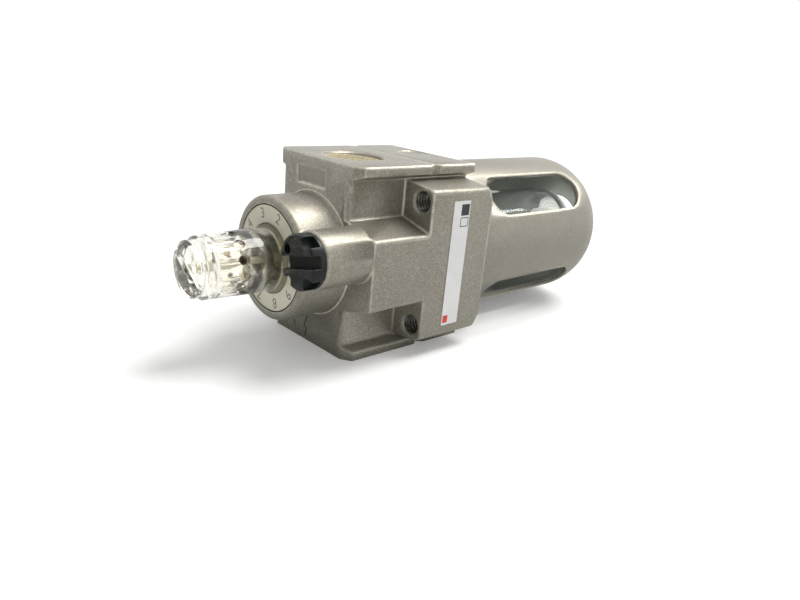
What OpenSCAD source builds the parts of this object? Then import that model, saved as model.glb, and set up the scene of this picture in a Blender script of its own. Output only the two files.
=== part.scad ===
// Air line lubricator: a cast body with two pipe ports, a sight dome that sets the drip rate,
// an oil fill plug, and a clear bowl held by a windowed metal guard.
// The origin is where the port axis meets the bowl axis. The inlet is at -X and the outlet at +X,
// the front is -Y and the sight dome points to +Z. All sizes are in millimetres.

/* [Body block] */
// Distance between the two port faces
port_span = 40; // [39:0.5:46]
// Depth of a port flange, front to back
flange_depth = 28; // [27:0.5:30]
// Thickness of a port flange at its tip
flange_tip = 1.8; // [1.4:0.1:2.2]
// How far the inner side of a flange slopes from tip to root
flange_slope = 1.1; // [0.6:0.1:1.4]
// Width of the corner cut on the top of a flange
flange_cut_y = 2.3; // [1.5:0.1:2.8]
// Height of the corner cut on the top of a flange
flange_cut_z = 1.6; // [1:0.1:2.5]
// Distance between the front and back walls of the body
core_depth = 23.2; // [22.4:0.2:25]
// Radius of the top edges of the front and back walls
core_edge_r = 1.5; // [1:0.1:1.6]
// Height of the top face above the port axis
top_height = 9.8; // [9.4:0.1:11]
// Depth of the body below the port axis
body_drop = 23; // [22:0.5:27]
// Depth of the alignment notch below the port axis
notch_drop = 11; // [10:0.2:13]
// Height of the alignment notch in the flange edges
notch_height = 2.8; // [2:0.1:3.4]
// Depth of the alignment notch in the flange edges
notch_depth = 1.1; // [0.6:0.1:1.5]
// Width and depth of the line across each port face
face_line = 0.35; // [0.2:0.05:0.5]
// Length of the bare maker's recess in the top face
recess_length = 9.8; // [8:0.2:11]
// Width of the bare maker's recess in the top face
recess_width = 3.8; // [3:0.1:4.2]
// Depth of the bare maker's recess in the top face
recess_sink = 0.35; // [0.2:0.05:0.5]

/* [Clamp blocks] */
// Distance between the front and back block faces
block_depth = 40.4; // [39.6:0.2:43]
// Width of a block at its outer face
block_face_w = 32; // [31:0.5:33]
// Width of a block where it meets the wall
block_root_w = 34.2; // [33.4:0.2:35]
// Depth of the shoulders below the port axis
shoulder_drop = 4.7; // [4:0.1:6]
// Radius of the upright edges of a block
block_edge_r = 1; // [0.5:0.1:1.5]
// Width of the cut on the lower corners of a block
block_cut_x = 3; // [2:0.2:3.6]
// Height of the cut on the lower corners of a block
block_cut_z = 1.6; // [1:0.1:2.4]
// Width of the front web at its outer face
web_face_w = 14.2; // [13:0.2:15]
// Width of the front web where it meets the wall
web_root_w = 18.6; // [17.5:0.2:19]
// Radius of the front web's upright edges
web_edge_r = 0.8; // [0.4:0.1:1.2]

/* [Bracket holes] */
// Distance between the two bracket holes of a block
bracket_pitch = 26.6; // [26:0.1:27]
// Distance of the bracket holes from the bowl axis, front to back
bracket_reach = 16.9; // [16.6:0.1:17.2]
// Core diameter of the bracket thread
bracket_bore = 4.2; // [3.6:0.1:4.4]
// Diameter of the countersink at the mouth of a bracket hole
bracket_sink = 5; // [4.6:0.1:5.2]
// Depth of a bracket hole
bracket_depth = 8; // [6:0.5:10]

/* [Ports and air passage] */
// Core diameter of the pipe thread
port_bore = 12.6; // [12.2:0.1:13]
// Diameter of the countersink at the mouth of a port
port_mouth = 13.4; // [13.2:0.1:13.8]
// Depth of a port
port_depth = 11; // [10:0.2:12]
// Diameter of the air passage between the ports
passage_bore = 9; // [8.6:0.1:9.4]
// Diameter of the counterbore that holds the damper
damper_bore = 10.4; // [10:0.1:10.8]
// Depth of the damper counterbore past the end of the inlet port
damper_reach = 5.2; // [4.8:0.1:5.6]
// Thickness of the damper disc
damper_t = 0.5; // [0.3:0.05:0.7]
// Diameter of the flap cut in the damper
damper_flap = 6.4; // [5.6:0.1:6.6]
// Width of the slit round the flap
damper_slit = 0.3; // [0.2:0.05:0.4]
// Width of the strip that the flap bends on
damper_hinge = 2.4; // [1.8:0.1:3]
// Diameter of the seat for the damper retainer's flange
damper_seat = 11.8; // [11.4:0.1:12]
// Thickness of the damper retainer's flange
damper_flange = 1.9; // [1.5:0.1:2.2]
// Diameter of the opening through the damper retainer
damper_way = 7; // [6.8:0.1:7.4]

/* [Neck and dial] */
// Outer diameter of the neck
neck_d = 25.3; // [25:0.1:26]
// Height of the neck's rim above the port axis
neck_height = 20.2; // [19.8:0.1:21]
// Radius of the neck's rim edge
rim_r = 0.6; // [0.3:0.1:0.9]
// Size of the blend at the neck's foot
neck_foot = 0.35; // [0.2:0.05:0.6]
// Outer diameter of the dial plate
dial_d = 21.5; // [21:0.1:21.8]
// Thickness of the dial plate
dial_t = 0.8; // [0.6:0.05:1]
// Depth of the dial plate's face below the rim
dial_sink = 0.1; // [0.05:0.05:0.3]
// Diameter of the bore that holds the dome retainer
neck_bore = 14; // [13.6:0.1:14.2]
// Height of the neck bore's floor above the port axis
neck_floor = 12; // [11.6:0.1:12.6]

/* [Sight dome] */
// Diameter of the dome's barrel at its widest
barrel_d = 12.8; // [12.4:0.1:13]
// Diameter of the barrel at its foot
barrel_foot_d = 12.6; // [12.3:0.1:12.8]
// Diameter of the barrel at its top shoulder
barrel_top_d = 12.2; // [12:0.1:12.4]
// Height of the barrel from its foot to its top shoulder
barrel_height = 14.75; // [13.5:0.25:17]
// Height of the barrel's widest ring above its foot
barrel_widest = 4.4; // [3:0.2:6]
// Diameter of the dome's tip
tip_d = 11; // [10.4:0.1:11.6]
// Height of the tip above the barrel's shoulder
tip_height = 2.4; // [2.2:0.1:3]
// Diameter of the groove under the tip
tip_groove_d = 10; // [9.4:0.1:10.2]
// Height of the groove above the barrel's shoulder
tip_groove_rise = 0.8; // [0.6:0.05:1]
// Thickness of the disc at the tip
tip_disc_t = 0.95; // [0.7:0.05:1.1]
// Width of the screwdriver slot across the tip
slot_w = 1.6; // [1.2:0.1:2]
// Depth of the screwdriver slot
slot_depth = 1.2; // [0.8:0.1:1.4]
// Direction of the screwdriver slot
slot_turn = 54; // [0:1:180]
// Thickness of the dome's crown above the sight chamber
crown_t = 2; // [1.6:0.1:2.6]
// Number of grip flutes round the barrel
flute_count = 12; // [10:1:14]
// Direction of the first flute
flute_turn = -98; // [-120:1:-60]
// Diameter of the dimple at the foot of each flute
dimple_d = 2.1; // [1.6:0.1:2.3]
// Depth of a dimple
dimple_depth = 0.7; // [0.4:0.1:0.9]
// Height of the dimples above the barrel's foot
dimple_height = 8.3; // [7.5:0.1:9]
// Width of a flute
flute_w = 1.5; // [1.2:0.1:1.7]
// Depth of a flute
flute_depth = 0.35; // [0.2:0.05:0.45]
// Diameter of the dome's stem
stem_d = 9; // [8.8:0.1:9.4]
// Diameter of the bore in the stem
stem_bore = 5.2; // [4.8:0.1:5.4]
// Diameter of the sight chamber in the barrel
chamber_d = 8.8; // [8.4:0.1:9.2]
// Diameter of the adjusting needle
needle_d = 1.8; // [1.6:0.1:2]
// Thickness of the gasket under the dome
gasket_t = 0.5; // [0.4:0.05:0.7]
// Outer diameter of the gasket under the dome
gasket_d = 13.7; // [13.3:0.1:13.8]

/* [Drip nozzle] */
// Diameter of the drip nozzle's tube
nozzle_d = 4; // [3.4:0.1:4.4]
// Diameter of the hole through the drip nozzle
nozzle_hole = 1.6; // [1.2:0.1:2]
// Diameter of the drip nozzle's flange
nozzle_flange = 6.8; // [6.2:0.1:7]
// Thickness of the drip nozzle's flange
nozzle_t = 1; // [0.8:0.1:1.2]

/* [Fill plug and boss] */
// Distance of the fill boss from the bowl axis towards the outlet
boss_offset = 3.5; // [3:0.1:3.8]
// Outer diameter of the fill boss
boss_d = 11.3; // [10.9:0.1:11.4]
// Height of the fill boss above the neck's rim
boss_rise = 0.3; // [0.1:0.05:0.6]
// Core diameter of the fill thread
fill_bore = 7.2; // [6.8:0.1:7.4]
// Depth of the fill bore
fill_depth = 14; // [12:0.5:15]
// Depth of the seal's seat in the mouth of the fill bore
fill_sink = 0.5; // [0.3:0.05:0.6]
// Diameter of the oil passage from the fill bore to the bowl
fill_way = 3.2; // [2.8:0.1:3.4]
// Length of the plug's thread
plug_thread = 6.5; // [5:0.25:8]
// Diameter of the plug's rim
plug_rim_d = 10.7; // [10.4:0.1:10.8]
// Thickness of the plug's rim
plug_rim_t = 0.8; // [0.7:0.05:1]
// Diameter of the plug's grip at its foot
plug_grip_d = 9.9; // [9.4:0.1:10.1]
// Diameter of the plug's grip at its top
plug_top_d = 9.5; // [9:0.1:9.8]
// Height of the plug above the boss
plug_height = 3; // [2.7:0.1:3.6]
// Number of finger flutes round the plug
plug_flutes = 6; // [4:1:8]
// Diameter of a finger flute
plug_flute_d = 1.9; // [1.6:0.1:2.2]
// Distance of a finger flute's centre from the plug's axis
plug_flute_reach = 4.4; // [4.2:0.1:4.6]
// Width of the slot across the plug
plug_slot_w = 1.8; // [1.4:0.1:2]
// Depth of the slot across the plug
plug_slot_depth = 1.3; // [1:0.1:1.6]
// Direction of the slot across the plug
plug_slot_turn = -76; // [-90:1:90]

/* [Bowl guard] */
// Outer diameter of the guard
guard_d = 36.2; // [35.8:0.1:37]
// Wall thickness of the guard
guard_wall = 1.3; // [1:0.1:1.6]
// Length of the guard below the body
guard_length = 56.2; // [55:0.5:62]
// Radius of the guard's rounded end
guard_end_r = 13.9; // [12.5:0.1:14.5]
// Diameter of the hole in the guard's end
guard_hole = 14; // [13:0.2:15]
// Diameter of the threaded collar that screws into the body
collar_d = 32.6; // [32:0.1:32.8]
// Wall thickness of the threaded collar
collar_wall = 1.7; // [1.5:0.1:1.9]
// Width of a window
window_w = 10.4; // [9:0.2:11]
// Length of a window
window_length = 35.3; // [32:0.5:36]
// Distance from the top of the guard to the top of a window
window_drop = 7; // [6:0.25:8]
// Angle of a window from the front or back of the guard
window_angle = 43.25; // [40:0.25:46]

/* [Bowl] */
// Depth of the bowl cavity's ceiling below the port axis
ceiling_drop = 13; // [12.6:0.1:13.6]
// Outer diameter of the bowl
bowl_d = 19.6; // [19:0.2:20]
// Wall thickness of the bowl
bowl_wall = 1.8; // [1.4:0.1:2]
// Thickness of the bowl's flange
bowl_flange_t = 3; // [2.4:0.1:3.2]
// Length of the bowl below its flange
bowl_length = 58.8; // [56:0.2:59.2]
// Thickness of the ledge that carries the bowl's flange
ledge_t = 2; // [1.6:0.1:2.2]
// Section diameter of the bowl's O-ring
bowl_seal_t = 2.3; // [2:0.1:2.5]
// Centre diameter of the bowl's O-ring
bowl_seal_d = 25; // [24.4:0.1:25.4]
// Width of the clip ring that keeps the bowl in the guard
clip_w = 1.1; // [0.9:0.1:1.3]
// Thickness of the clip ring
clip_t = 0.8; // [0.6:0.1:1]
// Angle of the gap in the clip ring
clip_gap = 24; // [15:1:35]

/* [Siphon] */
// Diameter of the siphon holder's disc
holder_d = 14.2; // [13.8:0.1:14.6]
// Thickness of the siphon holder's disc
holder_t = 3.5; // [3:0.1:4]
// Diameter of the siphon holder's spigot
spigot_d = 8; // [7.6:0.1:8.4]
// Height of the siphon holder's spigot
spigot_height = 3.5; // [3.2:0.1:3.8]
// Outer diameter of the siphon tube
tube_d = 3.2; // [2.8:0.1:3.6]
// Bore of the siphon tube
tube_bore = 1.8; // [1.4:0.1:2]
// Distance from the strainer's end to the floor of the bowl
strainer_gap = 3.5; // [2.5:0.25:5]
// Diameter of the strainer
strainer_d = 5.2; // [4.8:0.1:5.6]
// Length of the strainer
strainer_length = 8; // [6:0.5:10]
// Diameter of the check balls
ball_d = 2; // [1.8:0.1:2.2]
// Diameter of the seats under the check balls
seat_bore = 1.4; // [1:0.1:1.5]
// Diameter of the oil riser beside the passage
riser_bore = 2; // [1.6:0.1:2.2]
// Distance of the oil riser from the bowl axis
riser_reach = 8.6; // [8.4:0.1:9]

/* [Seals] */
// Section diameter of the small O-rings
small_seal_t = 1; // [0.8:0.05:1.1]

/* [Label] */
// Width of the bare label on the front
label_w = 27.2; // [24:0.2:28]
// Height of the bare label
label_h = 4.9; // [4:0.1:6]
// Thickness of the bare label
label_t = 0.12; // [0.08:0.02:0.2]
// Depth of the label's centre below the port axis
label_drop = 13.3; // [12.5:0.1:15]

/* [Fits] */
// Radial clearance between a screw thread and its bore
thread_fit = 0.1; // [0.05:0.01:0.1]
// Radial clearance of a piece that sits fast in its bore
seat_fit = 0.05; // [0.02:0.01:0.1]
// Clearance between faces that turn on each other
turn_gap = 0.05; // [0.03:0.01:0.1]
// Clearance round a seal in its groove
seal_gap = 0.05; // [0.03:0.01:0.1]
// Gap between the guard and the body's lower face
guard_gap = 0.2; // [0.1:0.05:0.4]

/* [Hidden] */
$fn = 64;

// How far a cutting shape runs past the face that it opens
past = 1;
// Radial clearance of a piece that lies loose in its seat
loose_fit = 2 * seat_fit;

// Levels of the body
bottom_z = -body_drop;
shoulder_z = -shoulder_drop;
ceiling_z = -ceiling_drop;
block_y = block_depth / 2;
wall_y = core_depth / 2;
port_x = port_span / 2;
passage_x = port_x - port_depth;
damper_x = damper_reach - passage_x;

// Neck, dial and dome levels
dial_z = neck_height - dial_sink - dial_t;
gasket_z = neck_height - dial_sink;
barrel_z = gasket_z + gasket_t + turn_gap;
shoulder_dome_z = barrel_z + barrel_height;
tip_z = shoulder_dome_z + tip_height;
widest_z = barrel_z + barrel_widest;
dimple_z = barrel_z + dimple_height;
dial_hole_gap = 0.2;
dial_hole = neck_bore + 2 * dial_hole_gap;
retainer_floor_t = 1.2;
retainer_floor = neck_floor + nozzle_t + retainer_floor_t;
stem_gap = 0.3;
stem_z = retainer_floor + stem_gap;
chamber_floor_t = 0.9;
chamber_z = barrel_z + chamber_floor_t;
chamber_top = shoulder_dome_z - crown_t;
chamber_cone = (chamber_d - stem_bore) / 2;
stem_seal_drop = 0.5;
stem_seal_z = (stem_z + gasket_z) / 2 - stem_seal_drop;
oil_way_d = 1.4;
oil_way_z = retainer_floor + oil_way_d / 2 + stem_gap;

// Fill boss and plug levels
boss_height = neck_height + boss_rise;
boss_y = boss_d / 2 - block_y;
plug_z = boss_height + turn_gap;
plug_top_z = plug_z + plug_height;
plug_stem_d = fill_bore - 2 * thread_fit;
plug_seal_d = plug_stem_d + small_seal_t + 2 * seal_gap;
plug_seat_d = plug_seal_d + small_seal_t + 2 * seal_gap;
plug_groove_depth = small_seal_t - fill_sink - turn_gap;
fill_end_x = 1.5;
fill_end_y = -(holder_d + bowl_seal_d - bowl_seal_t) / 4;

// Bowl, seal and guard levels
seat_z = ceiling_z - bowl_seal_t - 2 * seal_gap;
flange_z = seat_z - bowl_flange_t;
ledge_z = flange_z - ledge_t;
clip_cover = 0.5;
collar_top_z = seat_z + clip_t + clip_cover;
guard_top_z = bottom_z - guard_gap;
guard_end_z = guard_top_z - guard_length;
guard_arc_z = guard_end_z + guard_end_r;
collar_bore = collar_d - 2 * collar_wall;
clip_hold = 0.25;
clip_groove_d = collar_bore + 2 * clip_hold * clip_w;
bowl_flange_d = collar_bore - 2 * loose_fit;
bowl_end_z = flange_z - bowl_length;
bowl_arc_z = bowl_end_z + bowl_d / 2;
bowl_bore = bowl_d - 2 * bowl_wall;
bowl_floor_z = bowl_end_z + bowl_wall;

// Siphon levels
holder_z = ceiling_z - holder_t;
spigot_top_z = ceiling_z + spigot_height;
gallery_t = 1.5;
gallery_top_z = spigot_top_z + gallery_t;
gallery_z = (spigot_top_z + gallery_top_z) / 2;
gallery_d = 1.3;
tube_stop = 1;
tube_top_z = ceiling_z - tube_stop;
ball_lift = sqrt(pow(ball_d / 2, 2) - pow(seat_bore / 2, 2));
ball_gap = 0.3;
ball_chamber = ball_d + 2 * ball_gap;
holder_seal_z = (ceiling_z + spigot_top_z) / 2;
strainer_z = bowl_floor_z + strainer_gap;
strainer_solid = 0.35;
strainer_bore_z = strainer_z + strainer_solid * strainer_length;
tube_end_gap = 0.5;
tube_end_z = strainer_bore_z + tube_end_gap;
check_reach = (holder_d + seat_bore) / 2;
check_floor_t = 2;
check_seat_z = ceiling_z + check_floor_t;
check_bore = ball_d + ball_gap;
check_gap = 0.3;

// A straight hole of diameter d from point a to point b
module drill(a, b, d) {
  v = b - a;
  l = norm(v);
  translate(a)
    rotate([0, acos(v[2] / l), atan2(v[1], v[0])])
      cylinder(d = d, h = l);
}

// A ring of round section
module torus(centre_d, section_d) {
  rotate_extrude()
    translate([centre_d / 2, 0])
      circle(d = section_d);
}

// A flat ring that stands on z = 0
module ring(outer_d, inner_d, h) {
  difference() {
    cylinder(d = outer_d, h = h);
    translate([0, 0, -past])
      cylinder(d = inner_d, h = h + 2 * past);
  }
}

// A cylinder between two levels
module cylinder_up(low_z, high_z, d) {
  translate([0, 0, low_z])
    cylinder(d = d, h = high_z - low_z);
}

// An upright bar with a face at -Y, wider at the wall than at the face, and round face edges
module tapered_bar(face_w, root_w, face_y, root_y, edge_r, h) {
  slope = (root_w - face_w) / 2 / (face_y - root_y);
  lean = atan(slope);
  edge_x = face_w / 2 + slope * edge_r - edge_r / cos(lean);
  edge_y = edge_r - face_y;
  touch = [edge_x + edge_r * cos(lean), edge_y - edge_r * sin(lean)];
  linear_extrude(h) {
    polygon([[-edge_x, -face_y], [edge_x, -face_y], touch, [root_w / 2, -root_y],
             [root_w / 2, 0], [-root_w / 2, 0], [-root_w / 2, -root_y], [-touch[0], touch[1]]]);
    for (side = [-1, 1])
      translate([side * edge_x, edge_y])
        circle(r = edge_r);
  }
}

// The core between the flanges, with its two top edges rounded
module core_block() {
  round_y = wall_y - core_edge_r;
  round_z = top_height - core_edge_r;
  rotate([90, 0, 90])
    translate([0, 0, -port_x + flange_tip])
      linear_extrude(port_span - 2 * flange_tip) {
        polygon([[-wall_y, bottom_z], [wall_y, bottom_z], [wall_y, round_z], [round_y, round_z],
                 [round_y, top_height], [-round_y, top_height], [-round_y, round_z], [-wall_y, round_z]]);
        for (side = [-1, 1])
          translate([side * round_y, round_z])
            circle(r = core_edge_r);
      }
}

// Both port flanges, notched on their front and back edges
module port_flanges() {
  tip_y = flange_depth / 2;
  tip_x = port_x - flange_tip;
  foot_y = wall_y - core_edge_r;
  foot_x = tip_x - flange_slope * (tip_y - foot_y) / (tip_y - wall_y);
  intersection() {
    translate([0, 0, bottom_z])
      linear_extrude(top_height + body_drop)
        for (side = [0, 1])
          mirror([side, 0])
            polygon([[port_x, -tip_y], [port_x, tip_y], [tip_x, tip_y], [foot_x, foot_y],
                     [0, foot_y], [0, -foot_y], [foot_x, -foot_y], [tip_x, -tip_y]]);
    rotate([90, 0, 90])
      translate([0, 0, -port_x - past])
        linear_extrude(port_span + 2 * past)
          for (side = [0, 1])
            mirror([side, 0])
              polygon([[0, bottom_z], [tip_y, bottom_z],
                       [tip_y, -notch_drop - notch_height / 2], [tip_y - notch_depth, -notch_drop],
                       [tip_y, -notch_drop + notch_height / 2], [tip_y, top_height - flange_cut_z],
                       [tip_y - flange_cut_y, top_height], [0, top_height]]);
  }
}

// The line across each port face that joins the two notches
module face_lines() {
  for (side = [-1, 1])
    translate([side * port_x, 0, -notch_drop])
      rotate([0, 45, 0])
        cube([face_line, flange_depth, face_line], center = true);
}

// A clamp block with its two lower corners cut, at the front
module clamp_block() {
  root_cut_z = block_cut_z * (1 + (block_root_w - block_face_w) / 2 / block_cut_x);
  intersection() {
    translate([0, 0, bottom_z])
      tapered_bar(block_face_w, block_root_w, block_y, wall_y, block_edge_r, body_drop - shoulder_drop);
    rotate([90, 0, 0])
      linear_extrude(block_depth)
        for (side = [0, 1])
          mirror([side, 0])
            polygon([[0, bottom_z], [block_face_w / 2 - block_cut_x, bottom_z],
                     [block_face_w / 2, bottom_z + block_cut_z],
                     [block_root_w / 2, bottom_z + root_cut_z],
                     [block_root_w / 2, shoulder_z], [0, shoulder_z]]);
  }
}

// The neck, from the shoulders up to its rounded rim
module neck() {
  r = neck_d / 2;
  translate([0, 0, shoulder_z])
    rotate_extrude() {
      square([r, neck_height - shoulder_z - rim_r]);
      square([r - rim_r, neck_height - shoulder_z]);
      translate([r - rim_r, neck_height - shoulder_z - rim_r])
        circle(r = rim_r);
    }
  translate([0, 0, top_height])
    cylinder(r1 = r + neck_foot, r2 = r, h = neck_foot);
}

// The fill boss, flush with the front face, on a short cone
module fill_boss() {
  cone = 2;
  edge = 0.25;
  translate([boss_offset, boss_y, 0]) {
    translate([0, 0, top_height - cone])
      cylinder(d1 = boss_d - 2 * cone, d2 = boss_d, h = cone);
    translate([0, 0, top_height])
      cylinder(d = boss_d, h = boss_height - edge - top_height);
    translate([0, 0, boss_height - edge])
      cylinder(d1 = boss_d, d2 = boss_d - 2 * edge, h = edge);
  }
}

// Ports, air passage and damper counterbore along X
module air_way() {
  mouth = (port_mouth - port_bore) / 2;
  for (side = [-1, 1])
    rotate([0, side * 90, 0]) {
      translate([0, 0, passage_x])
        cylinder(d = port_bore, h = port_depth + past);
      translate([0, 0, port_x - mouth])
        cylinder(d1 = port_bore, d2 = port_mouth, h = mouth);
    }
  rotate([0, 90, 0])
    translate([0, 0, -passage_x - past])
      cylinder(d = passage_bore, h = 2 * (passage_x + past));
  rotate([0, -90, 0]) {
    cylinder_up(-damper_x, passage_x + past, damper_bore);
    cylinder_up(passage_x - damper_flange, passage_x + past, damper_seat);
  }
}

// The four bracket holes, open at the shoulders
module bracket_holes() {
  sink = (bracket_sink - bracket_bore) / 2;
  for (x = [-1, 1], y = [-1, 1])
    translate([x * bracket_pitch / 2, y * bracket_reach, shoulder_z]) {
      translate([0, 0, -bracket_depth])
        cylinder(d = bracket_bore, h = bracket_depth + past);
      translate([0, 0, -sink])
        cylinder(d1 = bracket_bore, d2 = bracket_sink, h = sink);
    }
}

// The bore and dial recess of the neck, which leave the fill boss whole
module neck_hollow() {
  translate([0, 0, neck_floor])
    cylinder(d = neck_bore, h = neck_height);
  difference() {
    translate([0, 0, dial_z])
      cylinder(d = dial_d + 2 * seat_fit, h = neck_height);
    translate([boss_offset, boss_y, 0])
      cylinder(d = boss_d, h = boss_height + neck_height);
  }
}

// Oil ways: the fill bore, its seal seat and slanted way, the riser with its two cross ways, the drip way
module oil_ways() {
  translate([boss_offset, boss_y, boss_height - fill_depth])
    cylinder(d = fill_bore, h = fill_depth + past);
  translate([boss_offset, boss_y, boss_height - fill_sink])
    cylinder(d = plug_seat_d, h = fill_sink + past);
  drill([boss_offset, boss_y, boss_height - fill_depth + past],
        [fill_end_x, fill_end_y, ceiling_z - past / 2], fill_way);
  translate([0, riser_reach, gallery_z - riser_bore / 2])
    cylinder(d = riser_bore, h = oil_way_z - gallery_z + riser_bore);
  drill([0, riser_reach, gallery_z], [0, 0, gallery_z], gallery_d);
  drill([0, riser_reach, oil_way_z], [0, 0, oil_way_z], oil_way_d);
  cylinder(d = nozzle_d, h = neck_floor + past);
}

// The bowl cavity with the spigot bore and the pressure check bore above it
module bowl_hollow() {
  mouth = 0.5;
  cavity_d = collar_d + 2 * thread_fit;
  translate([0, 0, bottom_z - past])
    cylinder(d = cavity_d, h = ceiling_z - bottom_z + past);
  translate([0, 0, bottom_z - mouth])
    cylinder(d1 = cavity_d + 4 * mouth, d2 = cavity_d, h = 2 * mouth);
  cylinder_up(ceiling_z - past, gallery_top_z, spigot_d + 2 * seat_fit);
  translate([-check_reach, 0, 0]) {
    cylinder_up(ceiling_z - past, check_seat_z + past, seat_bore);
    cylinder_up(check_seat_z, check_gap - damper_seat / 2, check_bore);
  }
}

// The bare recess in the top face and the shallow mark in the outlet face
module face_marks() {
  recess_edge = 2.2;
  recess_shift = 1.3;
  mark_d = 7;
  mark_sink = 0.15;
  mark_shift = 1.5;
  mark_rise = 4;
  translate([port_x - recess_edge - recess_width, recess_shift - recess_length / 2, top_height - recess_sink])
    cube([recess_width, recess_length, recess_sink + past]);
  translate([port_x - mark_sink, mark_shift, bottom_z + mark_rise])
    rotate([0, 90, 0])
      cylinder(d = mark_d, h = mark_sink + past);
}

// The cast body
module body_casting() {
  color("#b0a796")
    difference() {
      union() {
        core_block();
        port_flanges();
        clamp_block();
        mirror([0, 1, 0])
          clamp_block();
        translate([0, 0, shoulder_z])
          tapered_bar(web_face_w, web_root_w, block_y, wall_y, web_edge_r, top_height - shoulder_z);
        neck();
        fill_boss();
      }
      air_way();
      bracket_holes();
      neck_hollow();
      oil_ways();
      bowl_hollow();
      face_lines();
      face_marks();
    }
}

// The dial plate round the dome, cut where the fill boss stands
module dial_plate() {
  color("#c2b8a6")
    translate([0, 0, dial_z])
      difference() {
        ring(dial_d, dial_hole, dial_t);
        translate([boss_offset, boss_y, -past])
          cylinder(d = boss_d + 2 * seat_fit, h = dial_t + 2 * past);
      }
}

module dome_gasket() {
  hole_gap = 1;
  color("#26251f")
    translate([0, 0, gasket_z])
      ring(gasket_d, stem_d + 2 * hole_gap, gasket_t);
}

// The bush that the dome turns in, with the oil way through its wall
module dome_retainer() {
  needle_gap = 0.6;
  color("#1f211c")
    difference() {
      cylinder_up(neck_floor, gasket_z, neck_bore - 2 * seat_fit);
      cylinder_up(neck_floor - past, neck_floor + nozzle_t + seat_fit, nozzle_flange + 2 * loose_fit);
      cylinder_up(neck_floor, retainer_floor + past, needle_d + 2 * needle_gap);
      cylinder_up(retainer_floor, gasket_z + past, stem_d + 2 * thread_fit);
      drill([0, 0, oil_way_z], [0, neck_bore, oil_way_z], oil_way_d);
    }
}

// The brass nozzle that the drops fall from, between the neck and the air passage
module drip_nozzle() {
  foot_gap = 0.5;
  color("#b8923f")
    difference() {
      union() {
        cylinder_up(neck_floor, neck_floor + nozzle_t, nozzle_flange);
        cylinder_up(passage_bore / 2 + foot_gap, neck_floor + nozzle_t / 2, nozzle_d - 2 * seat_fit);
      }
      cylinder(d = nozzle_hole, h = neck_height);
    }
}

// The holder that carries the siphon tube and the siphon's check valve
module siphon_holder() {
  groove_d = spigot_d - 2 * small_seal_t;
  edge = 0.4;
  color("#22241f")
    difference() {
      union() {
        translate([0, 0, holder_z])
          cylinder(d1 = holder_d - 2 * edge, d2 = holder_d, h = edge);
        cylinder_up(holder_z + edge, ceiling_z, holder_d);
        cylinder_up(ceiling_z - edge, spigot_top_z, spigot_d);
      }
      cylinder_up(holder_z - past, tube_top_z, tube_d + 2 * seat_fit);
      cylinder_up(tube_top_z - past, ceiling_z + past, seat_bore);
      cylinder_up(ceiling_z, spigot_top_z + past, ball_chamber);
      translate([0, 0, holder_seal_z - small_seal_t / 2 - seal_gap])
        ring(spigot_d + past, groove_d, small_seal_t + 2 * seal_gap);
    }
}

module holder_o_ring() {
  color("#151515")
    translate([0, 0, holder_seal_z])
      torus(spigot_d - small_seal_t + 2 * seal_gap, small_seal_t - 2 * seal_gap);
}

module siphon_check_ball() {
  color("#c9cdd2")
    translate([0, 0, ceiling_z + ball_lift])
      sphere(d = ball_d);
}

module siphon_tube() {
  color("#e4e2da")
    translate([0, 0, tube_end_z])
      ring(tube_d, tube_bore, tube_top_z - tube_end_z);
}

// The sintered strainer, a cup with a round end on the foot of the tube
module siphon_strainer() {
  end_r = 1.2;
  r = strainer_d / 2;
  color("#a98a55")
    difference() {
      translate([0, 0, strainer_z])
        rotate_extrude() {
          square([r - end_r, strainer_length]);
          translate([0, end_r])
            square([r, strainer_length - end_r]);
          translate([r - end_r, end_r])
            circle(r = end_r);
        }
      cylinder_up(strainer_bore_z, strainer_z + strainer_length + past, tube_d + 2 * seat_fit);
    }
}

module pressure_check_ball() {
  color("#c9cdd2")
    translate([-check_reach, 0, check_seat_z + ball_lift])
      sphere(d = ball_d);
}

// A thin disc with a round flap that bends open in the flow
module damper() {
  color("#2b2b29")
    translate([damper_x - damper_t, 0, 0])
      rotate([0, 90, 0])
        difference() {
          cylinder(d = damper_bore - 2 * loose_fit, h = damper_t);
          difference() {
            translate([0, 0, -past])
              ring(damper_flap, damper_flap - 2 * damper_slit, damper_t + 2 * past);
            translate([-damper_flap, -damper_hinge / 2, -2 * past])
              cube([damper_flap, damper_hinge, damper_t + 4 * past]);
          }
        }
}

// The bush that clamps the damper. Its flange also keeps the pressure check ball in its bore.
module damper_retainer() {
  color("#8d8a80")
    rotate([0, -90, 0])
      difference() {
        union() {
          cylinder_up(damper_t - damper_x, passage_x, damper_bore - 2 * seat_fit);
          cylinder_up(passage_x - damper_flange, passage_x, damper_seat - 2 * check_gap);
        }
        cylinder_up(0, port_x, damper_way);
      }
}

module front_label() {
  color("#e9e9e6")
    translate([-label_w / 2, -block_y - label_t, -label_drop - label_h / 2])
      cube([label_w, label_t, label_h]);
}

// The outer form of the dome: a fluted barrel, a grooved tip and a stem
module dome_form() {
  tip_r = tip_d / 2;
  edge = 0.4;
  rotate_extrude()
    polygon([[0, stem_z], [stem_d / 2 - edge, stem_z], [stem_d / 2, stem_z + edge], [stem_d / 2, barrel_z],
             [barrel_foot_d / 2, barrel_z], [barrel_d / 2, widest_z],
             [barrel_top_d / 2, shoulder_dome_z], [tip_r, shoulder_dome_z + edge],
             [tip_groove_d / 2, shoulder_dome_z + tip_groove_rise],
             [tip_groove_d / 2, tip_z - tip_disc_t - edge], [tip_r, tip_z - tip_disc_t],
             [tip_r, tip_z - edge],
             [tip_r - edge, tip_z], [0, tip_z]]);
}

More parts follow.
